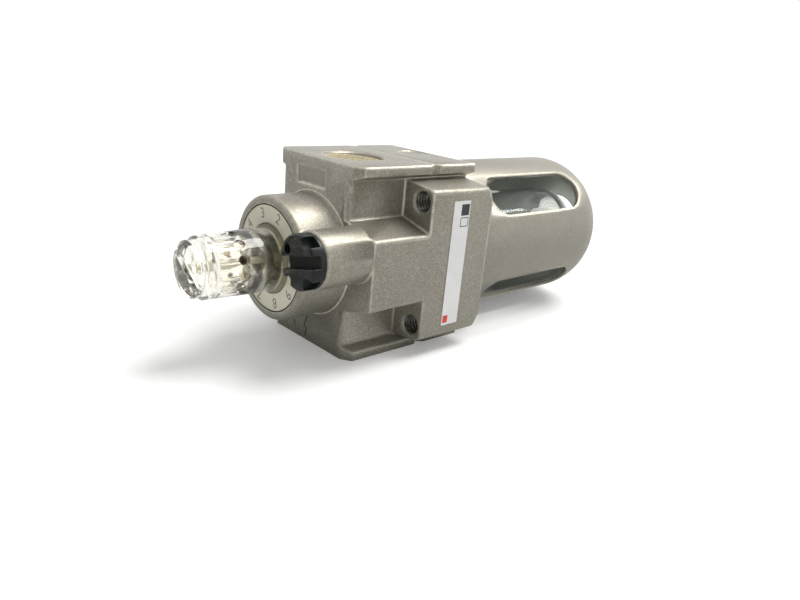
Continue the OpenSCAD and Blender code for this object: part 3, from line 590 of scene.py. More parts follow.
class Finishes:
    """Every finish of the lubricator, built once."""

    PLAN: tuple[Finish, ...] = (
        MetallicPaint("cast_paint", (0.292, 0.274, 0.228), (0.255, 0.24, 0.2), 0.6, (0.34, 0.46),
                      4600.0, 90.0, 0.000018),
        MetallicPaint("guard_paint", (0.3, 0.282, 0.238), (0.27, 0.254, 0.215), 0.6, (0.32, 0.42),
                      5200.0, 90.0, 0.00001, inside_light_radius=16.95 * MM),
        Finish("dial_face", (0.8, 0.77, 0.63), (0.73, 0.7, 0.57), 0.0, (0.42, 0.55),
               5000.0, 200.0, 0.000006),
        Finish("dial_ink", (0.15, 0.12, 0.08), (0.3, 0.25, 0.17), 0.0, (0.5, 0.6), 6000.0, 1500.0),
        GlossyMoulding("black_moulding", (0.008, 0.0105, 0.0095), (0.005, 0.007, 0.006), 0.0, (0.2, 0.32),
                       5200.0, 200.0, 0.000006, 0.34),
        DomePlastic("dome_plastic", (1.0, 0.985, 0.915), (0.985, 0.965, 0.88), 0.0, (0.01, 0.035),
                    900.0, 260.0, 0.000006),
        ClearPlastic("bowl_plastic", (0.93, 0.95, 0.94), (0.88, 0.91, 0.9), 0.0, (0.01, 0.04),
                     500.0, 120.0, 0.000012, clear=0.9),
        Finish("ivory_needle", (0.78, 0.74, 0.6), (0.7, 0.66, 0.52), 0.0, (0.25, 0.35)),
        Finish("black_rubber", (0.02, 0.02, 0.02), (0.012, 0.012, 0.012), 0.0, (0.55, 0.7)),
        # Painted light: the dome's gasket, retainer and o-ring are olive in place of their own black,
        # standing in for the olive light seen through the dome's foot.
        Finish("olive_lit_gasket", (0.34, 0.32, 0.23), (0.26, 0.245, 0.17), 0.0, (0.35, 0.5)),
        Finish("olive_lit_moulding", (0.46, 0.43, 0.32), (0.38, 0.355, 0.26), 0.0, (0.35, 0.5),
               4000.0, 300.0, 0.000006),
        Finish("turned_brass", (0.78, 0.56, 0.24), (0.66, 0.46, 0.19), 1.0, (0.18, 0.32),
               3000.0, 200.0, 0.000004),
        # Painted light: emission standing in for the light that refracts into the bowl.
        Finish("white_moulding_painted_light", (0.93, 0.93, 0.91), (0.88, 0.88, 0.86), 0.0, (0.3, 0.4),
               4000.0, 300.0, 0.00001, painted_emission=0.55),
        Finish("milky_tube", (0.82, 0.82, 0.78), (0.74, 0.74, 0.7), 0.0, (0.25, 0.35)),
        Finish("bright_steel", (0.64, 0.64, 0.65), (0.5, 0.5, 0.51), 1.0, (0.2, 0.32),
               3000.0, 300.0, 0.000004),
        Finish("grey_moulding", (0.3, 0.29, 0.27), (0.25, 0.24, 0.22), 0.0, (0.4, 0.5)),
        # Painted light in the ports: a colour near white and a faint emission stand in for the light inside
        # them.
        Finish("pipe_thread_painted_light", (0.98, 0.93, 0.77), (0.92, 0.86, 0.7), 0.2, (0.22, 0.36),
               2500.0, 300.0, 0.000008, painted_emission=0.06),
        # Painted shade: a dark colour stands in for the shade inside the bracket holes.
        Finish("screw_thread_painted_shade", (0.22, 0.21, 0.185), (0.05, 0.048, 0.042), 0.8, (0.2, 0.34),
               2500.0, 900.0, 0.000006),
        # Painted highlight of the fillet round the neck's foot.
        Finish("neck_fillet_highlight", (0.86, 0.81, 0.67), (0.6, 0.56, 0.45), 0.4, (0.25, 0.4),
               2500.0, 900.0, 0.000008),
        Finish("label_film", (0.74, 0.74, 0.74), (0.69, 0.69, 0.685), 0.0, (0.35, 0.45),
               5000.0, 200.0, 0.000003),
        Finish("label_red", (0.66, 0.05, 0.035), (0.58, 0.04, 0.03), 0.0, (0.4, 0.5)),
        Finish("label_black", (0.03, 0.03, 0.035), (0.02, 0.02, 0.025), 0.0, (0.4, 0.5)),
        # Dark paint cracks, and the painted shade in the gap round the dial plate.
        Finish("scratch_and_gap_shade", (0.024, 0.021, 0.016), (0.014, 0.012, 0.01), 0.0, (0.5, 0.7), specular=0.1),
    )

    def __init__(self) -> None:
        """Builds the shared groups and then each finish."""
        effects = Effects()
        self.made = {plan.name: plan.build(effects) for plan in self.PLAN}

    def dress(self, piece: bpy.types.Object, name: str) -> None:
        """Gives a piece its finish.

        Args:
            piece: The object to dress.
            name: Name of the finish.
        """
        if piece.data.materials:
            for slot in piece.material_slots:
                slot.material = self.made[name]
        else:
            piece.data.materials.append(self.made[name])


# Distances below which points are one, and the degrees below which two faces are flat.
SOLID_DOUBLES = 0.002 * MM
THREAD_DOUBLES = 0.003 * MM
SPIN_DOUBLES = 0.001 * MM
FLAT_TURN = 0.6
# How far a bore's wall may stand from its own radius and ends.
WALL_SLACK = 0.03 * MM
# Shares of the pitch at which a thread's crest ends, its groove starts and its groove ends.
THREAD_FORM: Triple = (0.15, 0.52, 0.64)
# A thread's end ring reaches out by this many tooth depths, and in to this share of its radius.
LIP_DEPTH = 1.2
LIP_SHARE = 0.98


def to_object(bm: Mesh, name: str) -> bpy.types.Object:
    """Makes an object from a bmesh.

    Args:
        bm: The mesh, which is freed.
        name: Name of the object.

    Returns:
        The new object.
    """
    mesh = bpy.data.meshes.new(name)
    bm.to_mesh(mesh)
    bm.free()
    thing = bpy.data.objects.new(name, mesh)
    bpy.context.scene.collection.objects.link(thing)
    return thing


def to_piece(bm: Mesh, name: str, body: str, sharp: float = 35.0) -> bpy.types.Object:
    """Makes a smooth object from a bmesh and lets it ride on a body.

    Args:
        bm: The mesh, which is freed.
        name: Name of the piece.
        body: Name of the body that it moves with.
        sharp: Angle in degrees past which an edge stays sharp.

    Returns:
        The new object.
    """
    for face in bm.faces:
        face.smooth = True
    piece = to_object(bm, name)
    piece.data.set_sharp_from_angle(angle=math.radians(sharp))
    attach(piece, body)
    LOG.info("%s: %d faces on %s", name, len(piece.data.polygons), body)
    return piece


def merged_copy(node: str) -> Mesh:
    """Copies a solid's mesh with its doubles merged and its flat faces joined.

    Args:
        node: Name of the solid.

    Returns:
        The copy.
    """
    bm = bmesh.new()
    bm.from_mesh(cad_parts[node].data)
    bmesh.ops.remove_doubles(bm, verts=bm.verts, dist=SOLID_DOUBLES)
    bmesh.ops.dissolve_limit(bm, angle_limit=math.radians(FLAT_TURN), verts=bm.verts, edges=bm.edges,
                             delimit=set())
    return bm


def round_edges(bm: Mesh, width: float, segments: int = 2, angle: float = 30.0) -> None:
    """Rounds the sharp outer edges of a mesh.

    Args:
        bm: The mesh to change.
        width: Width of the rounding in metres.
        segments: Number of steps across it.
        angle: Least angle in degrees between the faces of an edge that is rounded.
    """
    limit = math.radians(angle)
    edges = [edge for edge in bm.edges
             if edge.is_manifold and edge.is_convex and edge.calc_face_angle() > limit]
    bmesh.ops.bevel(bm, geom=edges, offset=width, offset_type="OFFSET", segments=segments, profile=0.5,
                    affect="EDGES", clamp_overlap=True, loop_slide=True, material=-1)


@dataclass(frozen=True)
class Bore:
    """A bore's wall: a point on its axis, its direction and radius, and where it starts and ends."""

    centre: Vector
    axis: Axis
    radius: float
    low: float
    high: float

    def reach(self, point: Vector) -> float:
        """Distance of a point from the bore's axis.

        Args:
            point: The point.

        Returns:
            The distance in metres.
        """
        off = point - self.centre
        return math.hypot(off.y, off.z) if self.axis is Axis.LINE else math.hypot(off.x, off.y)


def clear_wall(bm: Mesh, bore: Bore) -> int:
    """Takes away a bore's wall, so that a thread can take its place.

    Args:
        bm: The mesh to change.
        bore: The wall.

    Returns:
        The number of faces taken away.
    """
    gone = []
    for face in bm.faces:
        along = [v.co.x if bore.axis is Axis.LINE else v.co.z for v in face.verts]
        if min(along) < bore.low - WALL_SLACK or max(along) > bore.high + WALL_SLACK:
            continue
        if all(abs(bore.reach(v.co) - bore.radius) < WALL_SLACK for v in face.verts):
            gone.append(face)
    bmesh.ops.delete(bm, geom=gone, context="FACES")
    return len(gone)


def thread_wall(bm: Mesh, bore: Bore, tooth: Tooth, steps: int) -> None:
    """Adds the wall of an inner thread, whose grooves run outwards from the bore's radius.

    Args:
        bm: The mesh that takes the thread.
        bore: The wall that the thread takes the place of.
        tooth: Form of the thread.
        steps: Number of steps round the axis.
    """
    radius = bore.radius
    pitch, depth = (size * MM for size in tooth.value)
    crest, groove, rise = (share * pitch for share in THREAD_FORM)
    points = []
    level = bore.low - 2 * pitch
    while level < bore.high + pitch:
        points += [(radius, level), (radius, level + crest),
                   (radius + depth, level + groove), (radius + depth, level + rise)]
        level += pitch
    part = bmesh.new()
    verts = [part.verts.new((r, 0.0, z)) for r, z in points]
    edges = [part.edges.new(pair) for pair in zip(verts, verts[1:])]
    bmesh.ops.spin(part, geom=verts + edges, cent=ORIGIN, axis=UPRIGHT, dvec=(0, 0, pitch / steps),
                   angle=math.tau, steps=steps, use_merge=False, use_duplicate=False)
    bmesh.ops.remove_doubles(part, verts=part.verts, dist=THREAD_DOUBLES)
    for level, outer in ((bore.low, False), (bore.high, True)):
        bmesh.ops.bisect_plane(part, geom=part.verts[:] + part.edges[:] + part.faces[:], plane_no=UPRIGHT,
                               plane_co=(0, 0, level), clear_outer=outer, clear_inner=not outer)
    lip = radius + LIP_DEPTH * depth
    ring = bmesh.ops.create_circle(part, segments=steps, radius=lip, cap_ends=False,
                                   matrix=Matrix.Translation((0, 0, bore.low)))["verts"]
    rim = list({edge for vert in ring for edge in vert.link_edges})
    inner = bmesh.ops.extrude_edge_only(part, edges=rim)["geom"]
    moved = [item for item in inner if isinstance(item, bmesh.types.BMVert)]
    share = LIP_SHARE * radius / lip
    bmesh.ops.scale(part, vec=(share, share, 1.0), verts=moved)
    turn = Matrix.Rotation(math.radians(90), 4, "Y") if bore.axis is Axis.LINE else Matrix.Identity(4)
    bmesh.ops.transform(part, matrix=Matrix.Translation(bore.centre) @ turn, verts=part.verts)
    for face in part.faces:
        inwards = bore.centre - face.calc_center_median()
        if bore.axis is Axis.LINE:
            inwards.x = 0.0
        else:
            inwards.z = 0.0
        if face.normal.length == 0.0:
            face.normal_update()
        if face.normal.dot(inwards) < 0.0:
            face.normal_flip()
    extra = bpy.data.meshes.new("thread")
    part.to_mesh(extra)
    part.free()
    bm.from_mesh(extra)
    bpy.data.meshes.remove(extra)


def spun(points: list[Pair], closed: bool = False, steps: int = 96) -> Mesh:
    """Turns a profile round the upright axis.

    Args:
        points: Radius and height of each point in millimetres.
        closed: True to join the last point to the first.
        steps: Number of steps round the axis.

    Returns:
        The turned form, with its normals outwards.
    """
    bm = bmesh.new()
    verts = [bm.verts.new((r * MM, 0.0, z * MM)) for r, z in points]
    ends = verts[1:] + verts[:1] if closed else verts[1:]
    edges = [bm.edges.new(pair) for pair in zip(verts, ends)]
    bmesh.ops.spin(bm, geom=verts + edges, cent=ORIGIN, axis=UPRIGHT, angle=math.tau, steps=steps,
                   use_merge=True, use_duplicate=False)
    bmesh.ops.remove_doubles(bm, verts=bm.verts, dist=SPIN_DOUBLES)
    bmesh.ops.recalc_face_normals(bm, faces=bm.faces)
    return bm


def add_curve(bm: Mesh, curve: bpy.types.Curve, place: Matrix) -> None:
    """Adds the mesh of a curve or a text, which is then removed.

    Args:
        bm: The mesh that takes it.
        curve: The curve or text.
        place: Where it goes.
    """
    shape = bpy.data.objects.new(curve.name, curve)
    bpy.context.scene.collection.objects.link(shape)
    mesh = bpy.data.meshes.new_from_object(shape)
    mesh.transform(place)
    bm.from_mesh(mesh)
    bpy.data.meshes.remove(mesh)
    bpy.data.objects.remove(shape)
    bpy.data.curves.remove(curve)


@dataclass
class Casting:
    """The cast body: softened edges, pipe threads in the ports and screw threads in the bracket holes."""

    edge: float = 0.28 * MM
    port_radius: float = 6.3 * MM
    port_low: float = 9.0 * MM
    port_high: float = 19.6 * MM
    port_steps: int = 64
    bracket_radius: float = 2.1 * MM
    bracket_x: float = 13.3 * MM
    bracket_y: float = 16.9 * MM
    bracket_low: float = -12.7 * MM
    bracket_high: float = -5.1 * MM
    bracket_steps: int = 32

    def build(self, finishes: Finishes) -> None:
        """Builds the softened casting and its threads.

        Args:
            finishes: What to dress them with.
        """
        ports = [Bore(Vector(ORIGIN), Axis.LINE, self.port_radius, low, high) for low, high in
                 ((self.port_low, self.port_high), (-self.port_high, -self.port_low))]
        brackets = [Bore(Vector((x * self.bracket_x, y * self.bracket_y, 0)), Axis.UP, self.bracket_radius,
                         self.bracket_low, self.bracket_high) for x in (-1, 1) for y in (-1, 1)]
        bm = merged_copy("body_casting")
        for bore in ports + brackets:
            LOG.info("wall faces taken away: %d", clear_wall(bm, bore))
        round_edges(bm, self.edge)
        shell = to_piece(bm, "casting_shell", "body")
        finishes.dress(shell, "cast_paint")
        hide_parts("body_casting")
        threads = bmesh.new()
        for bore in ports:
            thread_wall(threads, bore, Tooth.PIPE, self.port_steps)
        finishes.dress(to_piece(threads, "port_threads", "body"), "pipe_thread_painted_light")
        threads = bmesh.new()
        for bore in brackets:
            thread_wall(threads, bore, Tooth.SCREW, self.bracket_steps)
        finishes.dress(to_piece(threads, "bracket_threads", "body"), "screw_thread_painted_shade")


@dataclass
class Dial:
    """The dial plate's numbers round the dome, and a dark ring of painted shade in the gap round the plate.
    """

    face: float = 20.1 * MM
    reach: float = 9.05 * MM
    size: float = 3.0 * MM
    lift: float = 0.012 * MM
    numbers: int = 10
    zero_turn: float = -91.0
    gap: Pair = (10.74, 10.98)
    gap_level: float = 20.2

    def build(self, finishes: Finishes) -> None:
        """Builds the numbers as one thin piece, and the ring of painted shade.

        Args:
            finishes: What to dress them with.
        """
        bm = bmesh.new()
        for number in range(self.numbers):
            text = bpy.data.curves.new("dial_number", "FONT")
            text.body = str(number)
            text.size = self.size
            text.align_x = "CENTER"
            text.align_y = "CENTER"
            text.extrude = self.lift
            turn = math.radians(self.zero_turn) + number * math.tau / self.numbers
            place = Matrix.Translation((self.reach * math.cos(turn), self.reach * math.sin(turn), self.face))
            add_curve(bm, text, place @ Matrix.Rotation(turn - math.pi / 2, 4, "Z"))
        numbers = to_piece(bm, "dial_numbers", "body")
        finishes.dress(numbers, "dial_ink")
        # Painted shade: a dark ring laid over the gap round the dial plate.
        inner, outer = self.gap
        low, high = self.gap_level, self.gap_level + self.lift / MM
        gap = spun([(inner, low), (outer, low), (outer, high), (inner, high)], closed=True)
        finishes.dress(to_piece(gap, "dial_gap", "body"), "scratch_and_gap_shade")


@dataclass
class Label:
    """The bare label's plain marks in millimetres: a small square, a filled box and an open box."""

    front: float = -20.314 * MM
    lift: float = 0.01 * MM
    square: tuple[Pair, Pair] = ((-13.1, -12.6), (-11.4, -11.1))
    filled: tuple[Pair, Pair] = ((10.5, -15.5), (12.9, -13.1))
    opened: tuple[Pair, Pair] = ((8.1, -15.5), (10.1, -13.1))
    line: float = 0.18

    def bar(self, low: Pair, high: Pair, name: str) -> bpy.types.Object:
        """Builds a thin plate on the label.

        Args:
            low: Lower x and z in millimetres.
            high: Upper x and z in millimetres.
            name: Name of the piece.

        Returns:
            The new piece.
        """
        bm = bmesh.new()
        bmesh.ops.create_cube(bm, size=1.0)
        size = ((high[0] - low[0]) * MM, 2 * self.lift, (high[1] - low[1]) * MM)
        bmesh.ops.scale(bm, vec=size, verts=bm.verts)
        middle = ((low[0] + high[0]) / 2 * MM, self.front, (low[1] + high[1]) / 2 * MM)
        bmesh.ops.translate(bm, vec=middle, verts=bm.verts)
        return to_piece(bm, name, "body")

    def build(self, finishes: Finishes) -> None:
        """Builds the label's marks.

        Args:
            finishes: What to dress them with.
        """
        finishes.dress(self.bar(*self.square, "label_square"), "label_red")
        finishes.dress(self.bar(*self.filled, "label_filled_box"), "label_black")
        (left, low), (right, high) = self.opened
        line = self.line
        for name, start, end in (("foot", (left, low), (right, low + line)),
                                 ("head", (left, high - line), (right, high)),
                                 ("near", (left, low), (left + line, high)),
                                 ("far", (right - line, low), (right, high))):
            finishes.dress(self.bar(start, end, "label_box_" + name), "label_black")


@dataclass
class Scratches:
    """The thin cracks in the paint of the top face below the neck."""

    level: float = 9.8 * MM
    width: float = 0.28 * MM
    sunk: float = 0.2
    paths: tuple[tuple[Pair, ...], ...] = (
        ((-14.3, 0.1), (-15.4, 0.75), (-16.8, 1.2), (-17.25, 0.2), (-18.2, 0.6), (-19.2, 0.7)),
        ((-16.6, 5.05), (-17.3, 4.9), (-18.0, 4.5)))

    def build(self, finishes: Finishes) -> None:
        """Builds the cracks as thin sunk cords.

        Args:
            finishes: What to dress them with.
        """
        curve = bpy.data.curves.new("scratch_path", "CURVE")
        curve.dimensions = "3D"
        curve.bevel_depth = self.width / 2
        curve.bevel_resolution = 1
        for path in self.paths:
            line = curve.splines.new("POLY")
            line.points.add(len(path) - 1)
            for point, (x, y) in zip(line.points, path):
                point.co = (x * MM, y * MM, self.level - self.sunk * self.width, 1.0)
        bm = bmesh.new()
        add_curve(bm, curve, Matrix.Identity(4))
        finishes.dress(to_piece(bm, "paint_scratches", "body"), "scratch_and_gap_shade")


@dataclass
class SoftCopy:
    """A solid that is shown by a smooth copy of itself, with rounded edges where width isn't 0."""

    node: str
    piece: str
    body: str
    slot: str
    finish: str
    width: float
    sharp: float = 35.0

    def build(self, finishes: Finishes) -> None:
        """Builds the copy, which stands for the solid.

        Args:
            finishes: What to dress it with.
        """
        bm = merged_copy(self.node)
        if self.width:
            round_edges(bm, self.width)
        piece = to_piece(bm, self.piece, self.body, self.sharp)
        finishes.dress(piece, self.finish)
        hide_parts(self.node)


@dataclass
class NeckBead:
    """The bright bead round the neck's foot, a painted highlight of its fillet, in millimetres."""

    radius: float = 13.05
    thick: float = 0.2
    level: float = 9.86
    sides: int = 8

    def build(self, finishes: Finishes) -> None:
        """Builds the bead on the slab.

        Args:
            finishes: What to dress it with.
        """
        turns = [math.tau * side / self.sides for side in range(self.sides)]
        points = [(self.radius + self.thick * math.cos(turn), self.level + self.thick * math.sin(turn))
                  for turn in turns]
        bead = to_piece(spun(points, closed=True), "neck_bead", "body")
        finishes.dress(bead, "neck_fillet_highlight")


@dataclass
class PlugHead:
    """The oil plug: a head with a deep slot, side pockets and a hole, over a threaded stem.

    Its centre is in metres and the rest in millimetres. Threads has the first level, the last level and
    the pitch; head has the radius, the lowest and the highest level; pockets have the reach, the turn in
    degrees, the radius and the floor's level.
    """

    centre: Triple = (3.5 * MM, -14.55 * MM, 0.0)
    foot: float = 14.0
    stem: float = 3.5
    root: float = 3.1
    threads: Triple = (14.6, 19.4, 0.8)
    thread_form: Triple = (0.35, 0.5, 0.85)
    run_out: float = 0.3
    seat: Pair = (4.6, 21.0)
    head: Triple = (5.35, 20.55, 23.55)
    chamfer: float = 0.1
    crown: tuple[Pair, ...] = ((0.0, 0.45), (0.12, 0.18), (0.35, 0.0))
    slot_turn: float = -76.0
    slot: Pair = (2.4, 1.95)
    pocket_steps: int = 40
    pockets: tuple[tuple[float, float, float, float], ...] = (
        (5.0, -31.0, 1.45, 21.2), (5.0, -134.0, 1.45, 21.2),
        (5.0, 147.0, 1.2, 21.2), (3.55, 58.0, 1.05, 21.6))

    def profile(self) -> list[Pair]:
        """Gives the half section of the plug before it is cut.

        Returns:
            Radius and height of each point, from the axis back to the axis.
        """
        radius, low, high = self.head
        level, stop, pitch = self.threads
        rise, crest, fall = self.thread_form
        points = [(0.0, self.foot), (self.root, self.foot)]
        while level < stop:
            points += [(self.root, level), (self.stem, level + rise * pitch),
                       (self.stem, level + crest * pitch), (self.root, level + fall * pitch)]
            level += pitch
        seat_radius, seat_level = self.seat
        points += [(self.stem, stop + self.run_out), (self.stem, seat_level), (seat_radius, seat_level),
                   (seat_radius, low), (radius - self.chamfer, low), (radius, low + self.chamfer)]
        points += [(radius - inwards, high - down) for inwards, down in self.crown]
        return points + [(0.0, high)]

    def knives(self) -> Mesh:
        """Builds the forms of the slot, the pockets and the hole.

        Returns:
            Their mesh.
        """
        radius, _, high = self.head
        width, depth = self.slot
        bm = bmesh.new()
        bmesh.ops.create_cube(bm, size=1.0)
        bmesh.ops.scale(bm, vec=(3 * radius * MM, width * MM, 2 * depth * MM), verts=bm.verts)
        turn = Matrix.Rotation(math.radians(self.slot_turn), 3, "Z")
        bmesh.ops.rotate(bm, cent=ORIGIN, matrix=turn, verts=bm.verts)
        bmesh.ops.translate(bm, vec=Vector(self.centre) + Vector((0, 0, high * MM)), verts=bm.verts)
        for reach, degrees, size, floor in self.pockets:
            angle = math.radians(degrees)
            spot = Vector((reach * math.cos(angle), reach * math.sin(angle), high)) * MM
            bmesh.ops.create_cone(bm, cap_ends=True, segments=self.pocket_steps, radius1=size * MM,
                                  radius2=size * MM, depth=2 * (high - floor) * MM,
                                  matrix=Matrix.Translation(Vector(self.centre) + spot))
        return bm

    def build(self, finishes: Finishes) -> None:
        """Builds the plug, which stands for the solid.

        Args:
            finishes: What to dress it with.
        """
        form = spun(self.profile())
        bmesh.ops.translate(form, vec=self.centre, verts=form.verts)
        blank = to_object(form, "plug_blank")
        knife = to_object(self.knives(), "plug_knives")
        cut = blank.modifiers.new("cut", "BOOLEAN")
        cut.operation = "DIFFERENCE"
        cut.solver = "EXACT"
        cut.object = knife
        graph = bpy.context.evaluated_depsgraph_get()
        mesh = bpy.data.meshes.new_from_object(blank.evaluated_get(graph))
        bm = bmesh.new()
        bm.from_mesh(mesh)
        for thing in (blank, knife):
            bpy.data.objects.remove(thing)
        bpy.data.meshes.remove(mesh)
        piece = to_piece(bm, "plug_shell", "plug", 30.0)
        finishes.dress(piece, "black_moulding")
        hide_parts("fill_plug")


@dataclass
class Strainer:
    """The ribbed strainer at the siphon tube's end, and the ribbed disc at the bowl's foot, both with
    painted light: an emission that stands in for the light refracted into the bowl.

    Sizes are in millimetres. Disc has the radius, and its lowest and highest level from the strainer's end.
    """

    ribs: int = 7
    rib_depth: float = 0.28
    rib_form: Triple = (0.1, 0.55, 0.65)
    grow: float = 0.6
    disc: Triple = (6.8, -3.3, -1.2)
    ring_form: Triple = (0.25, 0.65, 0.9)
    ring_depth: float = 0.4
    hub: float = 1.0

    def build(self, finishes: Finishes) -> None:
        """Builds the strainer, which stands for the solid, and the disc.

        Args:
            finishes: What to dress them with.
        """
        corners = [vert.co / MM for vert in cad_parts["siphon_strainer"].data.vertices]
        low, high = min(c.z for c in corners), max(c.z for c in corners)
        outer = max(math.hypot(c.x, c.y) for c in corners)
        LOG.info("strainer: z %.2f to %.2f, r %.2f", low, high, outer)
        pitch = (high - low) / self.ribs
        crest, valley = outer + self.grow, outer + self.grow - self.rib_depth
        rise, top, fall = self.rib_form
        points = [(0.0, low), (outer, low)]
        for rib in range(self.ribs):
            start = low + rib * pitch
            points += [(crest, start + rise * pitch), (crest, start + top * pitch),
                       (valley, start + fall * pitch), (valley, start + pitch)]
        points += [(outer, high), (0.0, high)]
        piece = to_piece(spun(points), "strainer_shell", "body")
        finishes.dress(piece, "white_moulding_painted_light")
        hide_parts("siphon_strainer")
        radius, bottom, top = self.disc
        groove = low + top - self.ring_depth
        start, stop, step = self.ring_form
        points = [(0.0, low + bottom), (radius, low + bottom), (radius, groove)]
        while radius > self.hub:
            points += [(radius - start, low + top), (radius - stop, low + top), (radius - step, groove)]
            radius -= step
        points.append((0.0, groove))
        disc = to_piece(spun(points), "bowl_foot_ribs", "bowl_unit")
        finishes.dress(disc, "white_moulding_painted_light")


@dataclass
class PlainNodes:
    """The solids that keep their own mesh and get a finish."""

    plan: tuple[tuple[str, str], ...] = (
        ("dial_plate", "dial_face"), ("dome_gasket", "olive_lit_gasket"), ("dome_retainer", "olive_lit_moulding"),
        ("drip_nozzle", "turned_brass"), ("siphon_holder", "black_moulding"),
        ("holder_o_ring", "black_rubber"), ("siphon_check_ball", "bright_steel"),
        ("siphon_tube", "milky_tube"), ("pressure_check_ball", "bright_steel"), ("damper", "black_rubber"),
        ("damper_retainer", "grey_moulding"), ("front_label", "label_film"),
        ("adjusting_needle", "ivory_needle"), ("dome_o_ring", "olive_lit_moulding"),
        ("plug_o_ring", "black_rubber"), ("bowl_clip_ring", "bright_steel"), ("bowl_o_ring", "black_rubber"))

    def build(self, finishes: Finishes) -> None:
        """Dresses each solid.

        Args:
            finishes: What to dress them with.
        """
        for node, finish in self.plan:
            finishes.dress(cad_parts[node], finish)


@dataclass(frozen=True)
class Lamp:
    """A far lamp: the way to it, its spread in degrees, its power, and whether it lights dull surfaces."""

    name: str
    way: Triple
    spread: float
    power: float
    diffuse: bool = True


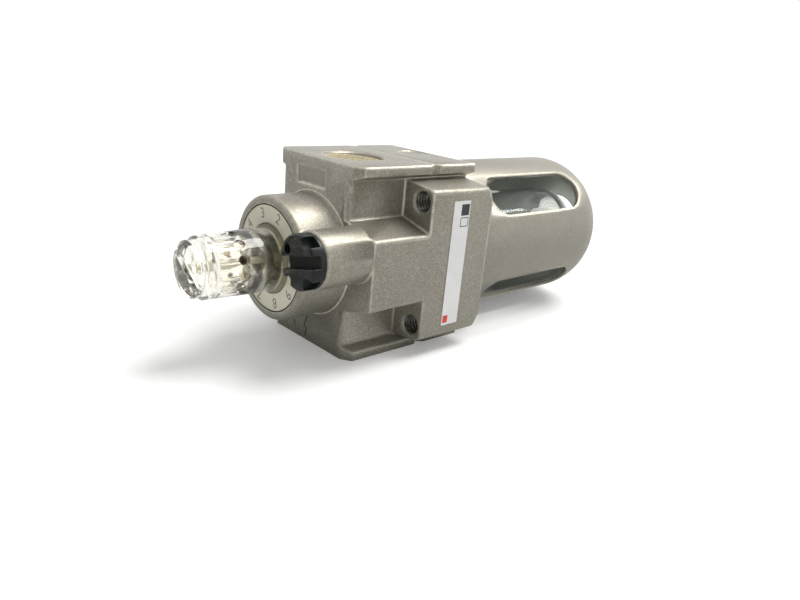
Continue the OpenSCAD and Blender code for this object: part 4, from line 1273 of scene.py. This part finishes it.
@dataclass
class Studio:
    """The pale floor that the lubricator lies on, the lamps, the world and the camera."""

    floor_x: float = -20.03 * MM
    floor_half: float = 0.9
    floor_rough: float = 0.6
    floor_specular: float = 0.2
    floor_lift: float = 0.17
    floor_shine: float = 0.52
    contact_light: float = 0.45
    close_reach: float = 0.12 * MM
    floor_glossy: float = 0.66
    white: Colour = (0.94, 0.945, 0.95)
    sky: Colour = (1.0, 1.0, 1.0)
    ambient: Pair = (0.12, 0.62)
    soft_way: Triple = (0.72, -0.4, -0.56)
    dark: float = 0.28
    dark_way: Triple = (0.33, -0.68, 0.66)
    dark_span: Pair = (0.6, 0.95)
    lamp: Colour = (1.0, 0.985, 0.955)
    lamps: tuple[Lamp, ...] = (Lamp("key", (0.86, -0.12, -0.38), 34.0, 2.3),
                               Lamp("fill", (0.35, -0.75, 0.25), 60.0, 0.12),
                               Lamp("glint", (0.565, -0.23, -0.79), 10.0, 0.8, diffuse=False))
    camera_place: Triple = (0.03943, -0.11278, 0.09200)
    right: Triple = (0.08964, -0.67129, -0.73575)
    up: Triple = (0.94015, 0.30089, -0.15998)
    ahead: Triple = (-0.32877, 0.67738, -0.65808)
    lens: float = 30.66
    sensor: float = 36.0
    clip: Pair = (0.005, 20.0)

    def build(self) -> None:
        """Builds the floor, the world, the lamps and the camera."""
        self.floor()
        self.world()
        self.light()
        self.camera()

    def floor(self) -> None:
        """Builds the floor, lifted for the camera, brighter through clear plastic, duller in mirrors and
        clear from behind, and emitting painted light onto the object's face that lies on it.
        """
        bm = bmesh.new()
        bmesh.ops.create_grid(bm, x_segments=2, y_segments=2, size=self.floor_half)
        turn = Matrix.Translation((self.floor_x, 0, 0)) @ Matrix.Rotation(math.radians(90), 4, "Y")
        bmesh.ops.transform(bm, matrix=turn, verts=bm.verts)
        plane = to_object(bm, "floor")
        material = bpy.data.materials.new("pale_floor")
        kit = empty_tree(material)
        out = kit.add("OutputMaterial")
        shader = kit.add("BsdfPrincipled")
        path = kit.add("LightPath")
        dull = tuple(part * self.floor_glossy for part in self.white)
        kit.wire(kit.blend(path.outputs["Is Glossy Ray"], self.white, dull), shader.inputs["Base Color"])
        shader.inputs["Roughness"].default_value = self.floor_rough
        shader.inputs["Specular IOR Level"].default_value = self.floor_specular
        lift = kit.add("Emission")
        lift.inputs["Color"].default_value = (*self.sky, 1.0)
        seen = kit.maths("MULTIPLY", path.outputs["Is Camera Ray"], self.floor_lift)
        through = kit.maths("MULTIPLY", path.outputs["Is Transmission Ray"], self.floor_shine)
        # Painted light: the floor emits for rays from surfaces within close_reach, lighting the object's
        # face that lies on it.
        close = kit.maths("LESS_THAN", path.outputs["Ray Length"], self.close_reach)
        shared = kit.maths("MULTIPLY", close, self.contact_light)
        kit.wire(kit.maths("ADD", kit.maths("ADD", seen, through), shared), lift.inputs["Strength"])
        both = kit.add("AddShader")
        kit.wire(shader.outputs["BSDF"], both.inputs[0])
        kit.wire(lift.outputs["Emission"], both.inputs[1])
        clear = kit.add("BsdfTransparent")
        side = kit.add("NewGeometry")
        mix = kit.add("MixShader")
        kit.wire(side.outputs["Backfacing"], mix.inputs["Fac"])
        kit.wire(both.outputs["Shader"], mix.inputs[1])
        kit.wire(clear.outputs["BSDF"], mix.inputs[2])
        kit.wire(mix.outputs["Shader"], out.inputs["Surface"])
        plane.data.materials.append(material)

    def world(self) -> None:
        """Builds a world that looks white, lights more from one side and mirrors darker towards another."""
        world = bpy.data.worlds.new("studio")
        kit = empty_tree(world)
        out = kit.add("OutputWorld")
        path = kit.add("LightPath")
        glossy, clear = path.outputs["Is Glossy Ray"], path.outputs["Is Transmission Ray"]
        shown = kit.maths("ADD", glossy, clear, clamp=True)
        way = kit.add("TexCoord").outputs["Generated"]
        facing = kit.vector("DOT_PRODUCT", way, self.dark_way)
        soft = kit.vector("DOT_PRODUCT", way, self.soft_way)
        shade = kit.spread(facing.outputs["Value"], 1.0, self.dark, *self.dark_span)
        ambient = kit.spread(soft.outputs["Value"], *self.ambient, -1.0, 1.0)
        open_sky = kit.maths("MAXIMUM", shade, clear)
        bright = kit.maths("MULTIPLY", shown, kit.maths("SUBTRACT", open_sky, ambient))
        level = kit.maths("ADD", bright, ambient)
        seen = kit.maths("MULTIPLY", path.outputs["Is Camera Ray"], kit.maths("SUBTRACT", 1.0, level))
        sky = kit.add("Background")
        sky.inputs["Color"].default_value = (*self.sky, 1.0)
        kit.wire(kit.maths("ADD", level, seen), sky.inputs["Strength"])
        kit.wire(sky.outputs["Background"], out.inputs["Surface"])
        bpy.context.scene.world = world

    def light(self) -> None:
        """Builds a broad key from above, a weak fill from the front, and a lamp that only gives glints."""
        for plan in self.lamps:
            data = bpy.data.lights.new(plan.name, "SUN")
            data.angle = math.radians(plan.spread)
            data.energy = plan.power
            data.color = self.lamp
            lamp = bpy.data.objects.new(plan.name, data)
            bpy.context.scene.collection.objects.link(lamp)
            lamp.rotation_euler = (-Vector(plan.way)).to_track_quat("-Z", "Y").to_euler()
            lamp.visible_diffuse = plan.diffuse

    def camera(self) -> None:
        """Builds the camera as fitted to the picture."""
        data = bpy.data.cameras.new("camera")
        data.lens = self.lens
        data.sensor_width = self.sensor
        data.clip_start, data.clip_end = self.clip
        camera = bpy.data.objects.new("camera", data)
        bpy.context.scene.collection.objects.link(camera)
        turn = Matrix((Vector(self.right), Vector(self.up), -Vector(self.ahead))).transposed().to_4x4()
        camera.matrix_world = Matrix.Translation(self.camera_place) @ turn
        bpy.context.scene.camera = camera


def main() -> None:
    """Builds the lubricator's looks and the studio."""
    logging.basicConfig(level=logging.INFO, format="%(name)s: %(message)s")
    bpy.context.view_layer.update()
    finishes = Finishes()
    guard = SoftCopy("bowl_guard", "guard_shell", "bowl_unit", "guard_metal", "guard_paint", 0.14 * MM)
    dome = SoftCopy("sight_dome", "dome_shell", "dome", "clear_dome", "dome_plastic", 0.1 * MM, 40.0)
    bowl = SoftCopy("bowl", "bowl_shell", "bowl_unit", "clear_bowl", "bowl_plastic", 0.0)
    for group in (PlainNodes(), Casting(), Dial(), Label(), Scratches(), NeckBead(), PlugHead(), Strainer(),
                  guard, dome, bowl):
        group.build(finishes)
    Studio().build()
    bpy.context.scene.view_settings.view_transform = "Standard"


if __name__ == "__main__":
    main()
